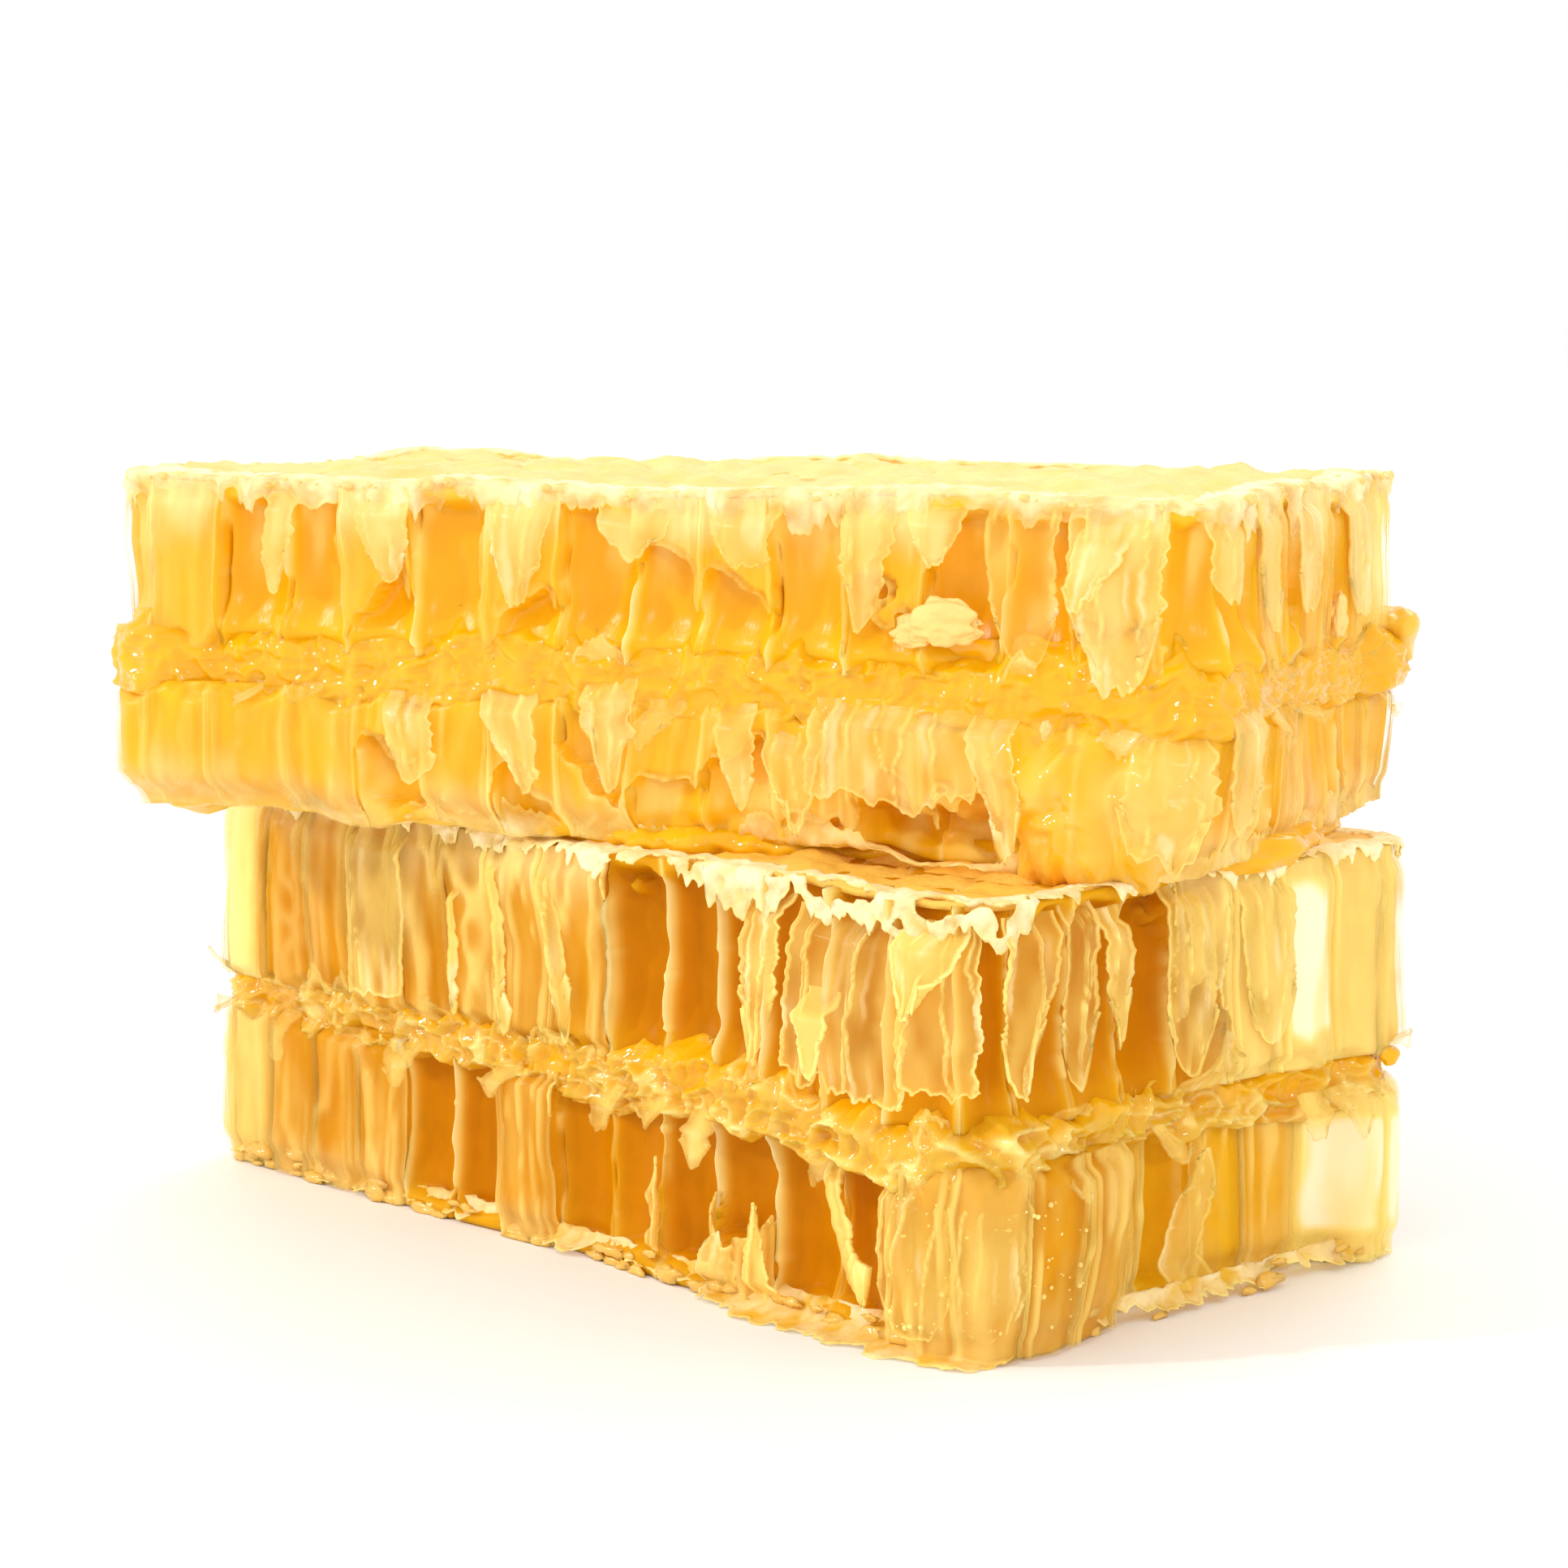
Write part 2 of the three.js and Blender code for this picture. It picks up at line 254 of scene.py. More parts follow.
def grid_faces(rows, columns, closed):
    """The four-cornered faces of a grid, as vertex numbers. A closed grid's last column meets its first."""
    i, j = np.meshgrid(np.arange(rows - 1), np.arange(columns if closed else columns - 1), indexing="ij")
    k = (j + 1) % columns
    corners = (i * columns + j, i * columns + k, (i + 1) * columns + k, (i + 1) * columns + j)
    return np.stack(corners, -1).reshape(-1, 4)


class Form:
    """Vertices, faces and the values that the materials read: tint, a colour, wax, from 0 for bare
    honey to 1 for dry wax, and cover, how far a film hides what lies behind it."""

    def __init__(self, co, quads, tint, wax, cover=1.0, tris=()):
        self.co = np.asarray(co, float).reshape(-1, 3)
        count = len(self.co)
        self.quads = np.asarray(quads, np.int64).reshape(-1, 4)
        self.tris = np.asarray(tris, np.int64).reshape(-1, 3)
        self.tint = np.broadcast_to(np.asarray(tint, float).reshape(-1, 3), (count, 3))
        self.wax = np.broadcast_to(np.asarray(wax, float).reshape(-1), (count,))
        self.cover = np.broadcast_to(np.asarray(cover, float).reshape(-1), (count,))


def join(forms):
    """Several forms as one: their arrays end to end, the faces' numbers moved on."""
    starts = np.cumsum([0] + [len(f.co) for f in forms])[:-1]
    return Form(
        np.concatenate([f.co for f in forms]),
        np.concatenate([f.quads + n for f, n in zip(forms, starts)]),
        np.concatenate([f.tint for f in forms]),
        np.concatenate([f.wax for f in forms]),
        np.concatenate([f.cover for f in forms]),
        np.concatenate([f.tris + n for f, n in zip(forms, starts)]),
    )


def closed_rings(co, tint, wax, tip=None):
    """A closed body from rings that lie one over the other. The lowest and the highest ring are each
    closed by a fan round their middle or, where tip names a column at one end of long rings, by rungs
    from side to side."""
    rows, columns = co.shape[:2]
    count = rows * columns
    last = count - columns
    sides = grid_faces(rows, columns, True)
    if tip is not None:
        ahead, back = (tip + np.outer([1, -1], np.arange(columns // 2 + 1))) % columns
        rungs = np.stack([ahead[1:-2], ahead[2:-1], back[2:-1], back[1:-2]], -1)
        tips = np.array([[ahead[0], ahead[1], back[1]], [ahead[-2], ahead[-1], back[-2]]])
        quads = np.concatenate([sides, rungs[:, ::-1], rungs + last])
        return Form(co, quads, tint, wax, tris=np.concatenate([tips[:, ::-1], tips + last]))
    j = np.arange(columns)
    k = (j + 1) % columns
    floor = np.stack([np.full(columns, count), k, j], -1)
    roof = np.stack([last + j, last + k, np.full(columns, count + 1)], -1)
    return Form(
        np.concatenate([co.reshape(-1, 3), co[[0, -1]].mean(1)]),
        sides,
        np.concatenate([tint.reshape(-1, 3), tint[[0, -1], 0]]),
        np.concatenate([wax.reshape(-1), wax[[0, -1], 0]]),
        tris=np.concatenate([floor, roof]),
    )


def thicken(form, thickness):
    """A closed sheet from an open one: every vertex is moved out and in along its normal by half the
    thickness, the inner faces are turned round, and the two sides are joined along the open edges."""
    used, quads = np.unique(form.quads, return_inverse=True)
    quads = quads.reshape(-1, 4)
    co = form.co[used]
    count = len(co)
    thickness = np.broadcast_to(np.asarray(thickness, float).reshape(-1), (len(form.co),))[used]
    corner = co[quads]
    face_normal = np.cross(corner[:, 2] - corner[:, 0], corner[:, 3] - corner[:, 1])
    normal = np.zeros_like(co)
    for n in range(4):
        np.add.at(normal, quads[:, n], face_normal)
    normal /= np.maximum(np.linalg.norm(normal, axis=1, keepdims=True), 1e-15)
    half = normal * thickness[:, None] * 0.5 * MM
    edges = np.concatenate([quads[:, [n, (n + 1) % 4]] for n in range(4)])
    there = edges[:, 0] * count + edges[:, 1]
    back = edges[:, 1] * count + edges[:, 0]
    a, b = edges[~np.isin(back, there)].T
    rim = np.stack([b, a, a + count, b + count], -1)
    return Form(
        np.concatenate([co + half, co - half]),
        np.concatenate([quads, quads[:, ::-1] + count, rim]),
        *(np.concatenate([values[used]] * 2) for values in (form.tint, form.wax, form.cover)),
    )


def put(name, form, material, replaced=()):
    """Makes a form into a mesh object that rides on the frame, with its tint, wax and cover values.
    Films that show what lies behind them cast no shadow."""
    mesh = bpy.data.meshes.new(name)
    mesh.vertices.add(len(form.co))
    mesh.vertices.foreach_set("co", form.co.astype(np.float32).ravel())
    corners = np.concatenate([form.quads.ravel(), form.tris.ravel()]).astype(np.int32)
    totals = np.concatenate([np.full(len(form.quads), 4), np.full(len(form.tris), 3)])
    mesh.loops.add(len(corners))
    mesh.loops.foreach_set("vertex_index", corners)
    mesh.polygons.add(len(totals))
    mesh.polygons.foreach_set("loop_start", (np.cumsum(totals) - totals).astype(np.int32))
    mesh.polygons.foreach_set("use_smooth", np.ones(len(totals), bool))
    mesh.update(calc_edges=True)
    if mesh.validate():
        raise RuntimeError(f"{name} has faces that don't hold together")
    tint = np.concatenate([form.tint, np.ones((len(form.co), 1))], 1)
    for key, kind, field, values in (
        ("tint", "FLOAT_COLOR", "color", tint),
        ("wax", "FLOAT", "value", form.wax),
        ("cover", "FLOAT", "value", form.cover),
    ):
        attribute = mesh.attributes.new(key, kind, "POINT")
        attribute.data.foreach_set(field, values.astype(np.float32).ravel())
    mesh.materials.append(material)
    piece = bpy.data.objects.new(name, mesh)
    bpy.context.scene.collection.objects.link(piece)
    piece.visible_shadow = bool(form.cover.min() > 0.99)
    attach(piece, "root")
    if replaced:
        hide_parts(*replaced)
    return piece


# The finishes. gloss is the roughness of bare honey and of dry wax, shine the specular level, grain and
# streak the depth in millimetres of a bump in grains and in upright streaks, and inside how far light
# runs in the honey, in millimetres. A film shows what lies behind it.
FINISHES = {
    "lower_honey_in_cells": {"gloss": (0.3, 0.5), "shine": 0.04, "streak": 0.1, "inside": 4.0},
    "upper_honey_in_cells": {"gloss": (0.3, 0.5), "shine": 0.25, "streak": 0.1, "inside": 4.0},
    "cell_wall_film": {"gloss": (0.12, 0.45), "shine": 0.3, "film": True},
    "midrib_wax_and_honey": {"gloss": (0.05, 0.35), "shine": 0.45, "grain": 0.2, "inside": 3.0},
    "capping_crust": {"gloss": (0.25, 0.6), "shine": 0.15, "grain": 0.35},
    "capping_veil": {"gloss": (0.25, 0.6), "shine": 0.15, "film": True},
    "clear_honey": {"gloss": (0.05, 0.3), "shine": 0.35, "inside": 4.0},
    "pouch_skin": {"gloss": (0.05, 0.3), "shine": 0.5, "grain": 0.1},
    "crumb_wax": {"gloss": (0.4, 0.6), "shine": 0.2, "grain": 0.3},
    "bubble_skin": {"gloss": (0.08, 0.2), "shine": 0.4},
}
MOTTLE_SCALE, MOTTLE_LIGHT = 420.0, (0.93, 1.05)
GRAIN_SCALE, GRAIN_STRENGTH = 1500.0, 0.7
STREAK_SCALE, STREAK_STRENGTH = (1700.0, 1700.0, 110.0), 0.6
LIGHT_INSIDE = 0.2
LIGHT_REACH = (1.0, 0.95, 0.85)
FILM_GLOW, FILM_GLOW_STRENGTH = (0.75, 0.55, 0.06, 1.0), 0.11


def finish(name):
    """A material for comb, made once. The tint attribute gives its colour, with a soft mottling, and
    the wax attribute its roughness and the strength of its grain. In a film the cover attribute gives
    the alpha, and a faint golden glow stands for the light that thin wax lets through."""
    material = bpy.data.materials.get(name)
    if material:
        return material
    look = FINISHES[name]
    material = bpy.data.materials.new(name)
    material.use_nodes = True
    nodes, links = material.node_tree.nodes, material.node_tree.links
    shader = nodes["Principled BSDF"].inputs

    def node(kind, inputs, output, **settings):
        """Adds a node, sets its inputs or links them to sockets, and gives back one output."""
        made = nodes.new(kind)
        for key, value in settings.items():
            setattr(made, key, value)
        for key, value in inputs.items():
            if isinstance(value, bpy.types.NodeSocket):
                links.new(value, made.inputs[key])
            else:
                made.inputs[key].default_value = value
        return made.outputs[output]

    tint = node("ShaderNodeAttribute", {}, "Color", attribute_name="tint")
    wax = node("ShaderNodeAttribute", {}, "Fac", attribute_name="wax")
    bare, dry = look["gloss"]
    roughness = node("ShaderNodeMapRange", {"Value": wax, "To Min": bare, "To Max": dry}, "Result")
    links.new(roughness, shader["Roughness"])
    shader["Specular IOR Level"].default_value = look["shine"]
    if look.get("film"):
        cover = node("ShaderNodeAttribute", {}, "Fac", attribute_name="cover")
        links.new(cover, shader["Alpha"])
        links.new(tint, shader["Base Color"])
        shader["Emission Color"].default_value = FILM_GLOW
        shader["Emission Strength"].default_value = FILM_GLOW_STRENGTH
        return material

    place = node("ShaderNodeTexCoord", {}, "Object")
    mottle = node("ShaderNodeTexNoise", {"Vector": place, "Scale": MOTTLE_SCALE, "Detail": 3.0}, "Fac")
    ends = {"From Min": 0.3, "From Max": 0.7, "To Min": MOTTLE_LIGHT[0], "To Max": MOTTLE_LIGHT[1]}
    light = node("ShaderNodeMapRange", {"Value": mottle, **ends}, "Result")
    shade = node("ShaderNodeVectorMath", {0: tint, "Scale": light}, "Vector", operation="SCALE")
    links.new(shade, shader["Base Color"])
    if "grain" in look:
        grains = node("ShaderNodeTexNoise", {"Vector": place, "Scale": GRAIN_SCALE, "Detail": 3.0}, "Fac")
        height = node("ShaderNodeMath", {0: grains, 1: wax}, "Value", operation="MULTIPLY")
        depth = {"Strength": GRAIN_STRENGTH, "Distance": look["grain"] * MM}
        links.new(node("ShaderNodeBump", {"Height": height, **depth}, "Normal"), shader["Normal"])
    if "streak" in look:
        stretched = node("ShaderNodeMapping", {"Vector": place, "Scale": STREAK_SCALE}, "Vector")
        height = node("ShaderNodeTexNoise", {"Vector": stretched, "Scale": 1.0, "Detail": 2.0}, "Fac")
        depth = {"Strength": STREAK_STRENGTH, "Distance": look["streak"] * MM}
        links.new(node("ShaderNodeBump", {"Height": height, **depth}, "Normal"), shader["Normal"])
    if "inside" in look:
        shader["Subsurface Weight"].default_value = LIGHT_INSIDE
        shader["Subsurface Radius"].default_value = LIGHT_REACH
        shader["Subsurface Scale"].default_value = look["inside"] * MM
    return material


def size(name, description, millimetres):
    """A length property with its default in millimetres."""
    return FloatProperty(name=name, description=description, default=millimetres * MM, unit="LENGTH")


def colour(name, description, *steps):
    """A colour property with its default as 0 to 255 steps."""
    return FloatVectorProperty(
        name=name, description=description, subtype="COLOR", size=3, default=srgb(*steps)
    )


class HoneycombSizes(bpy.types.PropertyGroup):
    """Sizes that change how the comb is cut and torn."""

    open_depth: size("Open depth", "How deep a cell that is cut open lies", 2.3)
    drained_depth: size("Drained depth", "How deep a drained cell lies", 1.5)
    rib_height: size("Rib height", "How far a whole cell's wall stands out", 0.8)
    film_thickness: size("Film thickness", "Thickness of a torn wall", 0.22)


class HoneycombColours(bpy.types.PropertyGroup):
    """Colours of honey and wax."""

    # lower_deep and upper_deep are also the darker ambers that the troughs' painted shade blends to.
    lower_deep: colour("Lower amber", "Deep honey of the lower slab", 202, 124, 2)
    lower_honey: colour("Lower honey", "Honey near the lower slab's side", 224, 158, 18)
    upper_deep: colour("Upper amber", "Deep honey of the upper slab", 242, 172, 8)
    upper_honey: colour("Upper honey", "Honey near the upper slab's side", 245, 188, 24)
    line: colour("Wax edge", "Edges and folds of thin wax", 255, 230, 134)
    midrib: colour("Midrib", "Yellow wax of a midrib", 228, 176, 42)
    pool: colour("Pooled honey", "Clear honey that gathers on a midrib", 242, 178, 6)
    capping: colour("Capping", "Cream wax over the cells", 255, 218, 146)
    flake: colour("Torn wax", "Dry torn wax of the cell walls", 240, 204, 92)
    crumb: colour("Crumb", "Loose crumbs of white wax", 252, 214, 138)
    veil: colour("Veil", "Pale wax of the walls near a capping", 255, 234, 168)
    window: colour("Drained cell", "A drained cell that light comes through", 255, 245, 218)


def colours():
    """The scene's honeycomb colours."""
    return bpy.context.scene.honeycomb_colours


def sizes():
    """The scene's honeycomb sizes, in metres."""
    return bpy.context.scene.honeycomb_sizes


def film_thickness():
    """The thickness of a torn wall in millimetres."""
    return sizes().film_thickness / MM


def make_slabs():
    """Both slabs with their walls, one every 4.8 to 5.2 mm, and their honey colours."""
    c = colours()
    lower = Slab(
        "lower", turn=0.0, shift=0.0, long_walls=(1.7, 75.0, 5.2), short_walls=(3.2, 39.0, 4.8),
        colours=(c.lower_deep, c.lower_honey), wavy=(0.0, 0.3), tuck=0.3,
    )
    upper = Slab(
        "upper", turn=22.4, shift=-1.5, long_walls=(3.6, 75.0, 4.93), short_walls=(3.0, 39.0, 4.85),
        colours=(c.upper_deep, c.upper_honey), wavy=(0.6, 0.5), tuck=1.8,
    )
    return lower, upper


# The letters of cells run round the slab: O is a cell cut open, K a whole one, E a drained one, T one that
# keeps its upper wall and B its lower. Fourteen cells lie on a long face, one at a corner, seven on a
# short face and one at the next corner. bulges, pale, bright and lace are lists of humps: how far the side
# stands out, how pale it is, how far its honey is lifted to a lighter tint, which is painted light, and
# where its wax is torn to a net under the capping. A hollow (start, end, soft, out, level) draws the side
# in under a level. pool is the honey that stands at the layer's foot, and wet how far it covers the fins
# there. haze and frost are the paleness of honey and of wall wax near the capping. rib is the share of the
# rib height, groove the dip in the wall wax along the walls, broken how far fins are broken down, shallow
# the share of a cell's depth, crisp the strength of the pale lines, and sway how far the walls wander along
# the side.
# Where the lowest row of cells is gone from the right side.
LOST_ROW = (RIGHT + 15, RIGHT + 33, 3.0)
LAYERS = {
    "lower_bottom_cells": {
        "cells": "KKKKOOKOOOBOOK" + "K" + "KKKOKKE" + "E" + "OKKOBOOKTOKOOK" + "K" + "OKBOKOK" + "K",
        "bulges": [(RIGHT - 2, RIGHT + 8, 3.0, 0.9), (*LOST_ROW, -3.0)],
        "pool": 0.4,
        "frost": 0.25,
        "rib": 1.0,
        "groove": 0.25,
        "pale": [(-6, 6, 2.0, 0.35), (RIGHT + 32, BACK, 2.0, 0.5), (69, 78, 2.0, 0.1)],
        # bright is painted light: a glow that lifts the honey over the recessed lost row, where shade falls
        "bright": [(RIGHT + 13, RIGHT + 30, 3.0, 0.75)],
        "crisp": 0.9,
        "sway": 0.4,
        "seed": 11,
    },
    "lower_top_cells": {
        "cells": "KKKKKKKKOOOOOO" + "O" + "OOOTKEK" + "K" + "KOTOKKOBOKOTOK" + "O" + "TOKOKBO" + "K",
        "bulges": [(57, RIGHT - 2, 3.0, 0.7)],
        "lace": [(55, 79, 2.0, 1.0)],
        "pool": 0.7,
        "frost": 0.45,
        "rib": 0.9,
        "groove": 0.25,
        "pale": [(-6, 5, 2.0, 0.65), (RIGHT + 23, BACK, 3.0, 0.4)],
        "crisp": 0.9,
        "sway": 0.4,
        "seed": 23,
    },
    "upper_bottom_cells": {
        "cells": "KKKTKTBTTTTTTK" + "K" + "KOKKOKK" + "K" + "KOTKOKKBOOTKOK" + "K" + "OKKKOKK" + "K",
        "bulges": [(LEFT + 4, ROUND + 8, 6.0, 1.2)],
        "pool": 0.3,
        "frost": 0.45,
        "rib": 0.4,
        "groove": -0.3,
        "shallow": 0.8,
        "wet": 0.6,
        "haze": 0.5,
        "broken": 1.0,
        "hollows": [(54.5, 61.5, 2.0, -2.8, 3.0)],
        "crisp": 0.6,
        "sway": 0.75,
        "seed": 41,
    },
    "upper_top_cells": {
        "cells": "KOOTOTOTTOTOOT" + "O" + "OKOKOKK" + "K" + "OTOKOBKOOTOKTO" + "K" + "KOTOKOK" + "O",
        "bulges": [],
        "pool": 1.2,
        "wet": 0.6,
        "haze": 0.6,
        "broken": 1.4,
        "shallow": 0.85,
        "frost": 0.7,
        "rib": 0.4,
        "groove": -0.3,
        "pale": [(LEFT + 26, ROUND + 3, 4.0, 0.1), (RIGHT + 34, BACK, 3.0, 0.5)],
        "crisp": 0.4,
        "sway": 0.75,
        "seed": 53,
    },
}


def veins(points, size, seed, bend=0.5):
    """Thin wandering lines: 1 where a bent noise crosses zero, falling off fast on both sides."""
    bent = points + bend * np.stack([noise(points, 2.2, seed + n) for n in range(3)], -1)
    return bell(noise(bent, size, seed + 3), 0.09)


def tear_field(kinds, points, rise, edge, cell_chance, seed):
    """Over 0 where a cell's wall is torn away. Noise of 2 to 3 mm gets a bias from the kind of cell: a
    cell that keeps its upper or lower wall is torn past a ragged line at a random height. Near a
    neighbour's wall less is torn, which leaves ragged strips."""
    bias = np.select([kinds == "K", kinds == "E", kinds == "O"], [-1.05, -1.2, 0.95], 0.0)
    line = 0.3 + 0.4 * cell_chance
    bias = np.where(kinds == "T", 2.6 * (1.0 - line - rise), bias)
    bias = np.where(kinds == "B", 2.6 * (rise - line), bias)
    field = 0.9 * noise(points, (3.4, 3.4, 5.0), seed) + 0.3 * noise(points, (1.5, 1.5, 2.0), seed + 1)
    field += 0.12 * noise(points, 0.6, seed + 2) + bias
    return field - 0.55 * bell(edge, 0.4)


def cell_grid(slab, name):
    """The grid that a layer of cells is worked out on. s and z are each point's place and height, q its
    distance from its cell's middle as a share of the half width, edge its distance from the nearest
    wall and to_cap from the capping, both in millimetres. moved is how far bulges, hollows and noise
    move the side, and drained the share of near-white in a drained cell, which has a ragged frame."""
    layer = LAYERS[name]
    seed = layer["seed"]
    low, high = slab.span(name.split("_", 1)[1])
    on_top = name.endswith("top_cells")
    if on_top:
        first, last = low - 0.9, slab.span("top_capping")[1] - 0.35
    else:
        first, last = slab.span("bottom_capping")[0] + 0.15, high + 0.9
    levels = np.linspace(first, last, int(round((last - first) / CELL_ROW)) + 1)
    index, share, s = slab.columns(CELL_COLUMNS)
    kinds = np.array(list(layer["cells"]))[index]
    q = np.abs(2.0 * share - 1.0)
    edge = (1.0 - q) * (slab.wall_ends - slab.walls)[index] / 2.0
    s, z = np.meshgrid(s, levels)
    points = slab.side(s, 0.0, z) / MM
    s = s + layer["sway"] * noise(points, (9, 9, 6), seed) + 0.15 * noise(points, 2.2, seed + 1)

    moved = swell(s, layer["bulges"]) + 0.4 * noise(points, 11.0, seed + 6)
    for start, end, soft, depth, level in layer.get("hollows", ()):
        ragged = level + 0.8 * noise(points, (1.4, 1.4, 1.0), seed + 12)
        moved += depth * hump(s, start, end, soft) * (1.0 - smooth(ragged - 0.5, ragged + 0.3, z))

    frame_noise = 0.22 * noise(points, (1.2, 1.2, 3.5), seed + 22)
    drained = (kinds == "E") * smooth(0.95, 0.6, q + frame_noise)
    inward = np.minimum(z - low, high - z) + 0.8 * noise(points, 1.5, seed + 26)
    drained = drained * smooth(0.2, 1.6, inward)
    drained = drained * (0.95 - 0.25 * smooth(0.0, 0.5, noise(points, (0.7, 0.7, 8.0), seed + 23)))
    return SimpleNamespace(
        layer=layer, seed=seed, low=low, high=high, s=s, z=z, points=points,
        index=index, share=share, kinds=kinds, q=q, edge=edge,
        to_cap=(high - z) if on_top else (z - low),
        moved=moved, drained=drained,
        lace=swell(s, layer.get("lace", ())),
        # light is the painted glow of the layer's bright humps
        light=swell(s, layer.get("bright", ())),
        bleached=swell(s, layer.get("pale", ())),
    )


def bare_honey(slab, grid):
    """How far the honey in the cells stands out, its tint, and how much of it is a fin. Across a cell it
    is a trough of depth 0.5(1 - q^2.4) + 0.5(1 - q^11), which leaves a thin fin at each wall. Noise
    cuts the fins down, pooled honey rounds the trough's foot, and it closes under the capping."""
    layer, seed, low, high, z = grid.layer, grid.seed, grid.low, grid.high, grid.z
    points, q, edge, drained_cell = grid.points, grid.q, grid.edge, grid.kinds == "E"
    deep = sizes().open_depth / MM * (0.8 + 0.35 * chance(grid.index, seed + 2))
    deep = np.where(drained_cell, sizes().drained_depth / MM, deep) * layer.get("shallow", 1.0)
    trough = -deep * (0.5 * (1.0 - q ** 2.4) + 0.5 * (1.0 - q ** 11))
    wall = np.where(grid.share < 0.5, grid.index, grid.index + 1)
    crest = -1.1 * chance(wall, seed + 3) + 0.45 * noise(points, (1.1, 1.1, 1.4), seed + 4)
    crest -= layer.get("broken", 0.0) * smooth(0.0, 0.6, noise(points, (2.4, 2.4, 3.0), seed + 25))
    knots = smooth(0.45, 0.9, noise(points, (1.5, 1.5, 0.8), seed + 7)) * bell(edge, 0.35)
    fin = bell(edge, FIN_WIDTH)
    over_foot = np.maximum(z - low, 0.0)
    foot = bell(over_foot, 1.7)
    wet = layer.get("wet", 0.0)
    out = trough + (crest + 0.1) * fin * (1.0 - wet * foot) + 0.3 * knots
    out += layer["pool"] * foot * (1.0 - (1.0 - wet) * fin) - wet * smooth(0.4, -0.6, z - low)
    out += 0.5 * np.exp(-np.maximum(high - z, 0.0) / 0.5) + 0.06 * rough(points, 1.2, seed + 8)
    shut = smooth(0.5, -0.4, grid.to_cap + 0.6 * noise(points, 1.7, seed + 18)) * (1.0 - grid.lace)
    out = out * (1.0 - shut) - 0.2 * shut

    # Painted shade: the deeper the trough, the nearer the tint comes to the darker deep amber.
    depth = np.clip(-out / 2.4, 0.0, 1.0)
    tint = mix(slab.colours[1], slab.colours[0], smooth(0.1, 0.8, depth))
    tint = mix(tint, colours().pool, bell(over_foot, 2.4) * wet)
    # Painted light: the honey is lifted to the upper slab's lighter honey under the bright humps.
    tint = mix(tint, colours().upper_honey, grid.light)
    haze = smooth(-0.1, 0.5, rough(points, (1.5, 1.5, 5.0), seed + 24)) * smooth(6.5, 1.0, grid.to_cap)
    tint = mix(tint, colours().line, layer.get("haze", 0.0) * haze)
    fins = np.clip(0.9 * fin * smooth(-1.3, 0.0, crest) + 0.5 * knots, 0.0, 1.0)
    tint = mix(tint, colours().line, fins)
    return out, bleach(tint, np.maximum(0.4 * drained_cell, grid.drained)), fins


def wall_wax(slab, grid):
    """How far the wall wax stands out, its tint, its dryness, its cover and its tear field. It is a rib
    (1 - q^2.2)^0.7 with ridges along the walls, streaks and folds, drawn in at the capping and at the
    midrib. Its walls, folds and torn lips are pale lines."""
    layer, seed, kinds, points, edge = grid.layer, grid.seed, grid.kinds, grid.points, grid.edge
    ridge = bell(edge - 0.34, 0.12) * smooth(-0.8, 0.2, noise(points, (3, 3, 4), seed + 10))
    folds = veins(points, (1.3, 1.3, 16.0), seed + 14, 0.2) * np.where(kinds == "E", 0.25, 1.0)
    at_wall = bell(edge, FIN_WIDTH)
    wall_line = 0.85 * ridge if layer["groove"] > 0 else 0.85 * at_wall
    wall_line = np.maximum(wall_line, 0.5 * bell(edge, 0.15))
    out = sizes().rib_height / MM * layer["rib"] * (1.0 - grid.q ** 2.2) ** 0.7 + 0.3 * ridge
    out += 0.16 * folds - layer["groove"] * at_wall
    out += 0.16 * noise(points, (0.8, 0.8, 7.0), seed + 5) + 0.16 * rough(points, 3.2, seed + 15)
    out -= 0.35 * bell(np.maximum(grid.to_cap, 0.0), 0.6)
    to_midrib = grid.high - grid.low - grid.to_cap - 1.2 * rough(points * (1, 1, 0), 1.5, seed + 17)
    out -= 0.8 * smooth(0.0, -0.7, to_midrib)

    rise = (grid.z - grid.low) / (grid.high - grid.low)
    field = tear_field(kinds, points, rise, edge, chance(grid.index, seed + 60), seed + 20)
    torn_net = smooth(-0.5, 0.3, noise(points, 1.8, seed + 19))
    field += 2.2 * grid.lace * bell(grid.to_cap + 0.1, 0.9) * torn_net
    lip = bell(field, 0.09)
    streaks = np.clip(rough(points, (1.3, 1.3, 6.0), seed + 9), -0.3, 0.6)
    ragged = grid.to_cap + 1.6 * rough(points, (1.8, 1.8, 4.0), seed + 16)
    frost = layer["frost"] * smooth(3.8, 0.2, ragged)
    crisp = layer["crisp"] * (0.55 + 0.45 * hump(grid.s, 26.0, RIGHT + 26.0, 12.0))
    lines = np.maximum(np.maximum(wall_line, 0.6 * folds), lip) * crisp
    cover = np.clip(0.08 + 0.4 * streaks + 0.45 * frost, 0.03, 0.95)
    cover = cover * (crisp + (1.0 - crisp) * smooth(0.0, -0.45, field)) * smooth(-0.9, 0.5, to_midrib)
    cover = np.where(kinds == "E", 0.35 + 0.4 * grid.drained, cover)
    cover = np.clip(cover + 0.75 * lines, 0.0, 1.0)
    tint = mix(colours().flake, slab.colours[1], 0.4)
    tint = mix(mix(tint, colours().veil, frost), colours().line, lines)
    tint = bleach(tint, np.maximum(grid.bleached, grid.drained))
    return out, tint, np.clip(0.2 + lines + frost, 0.0, 1.0), cover, field


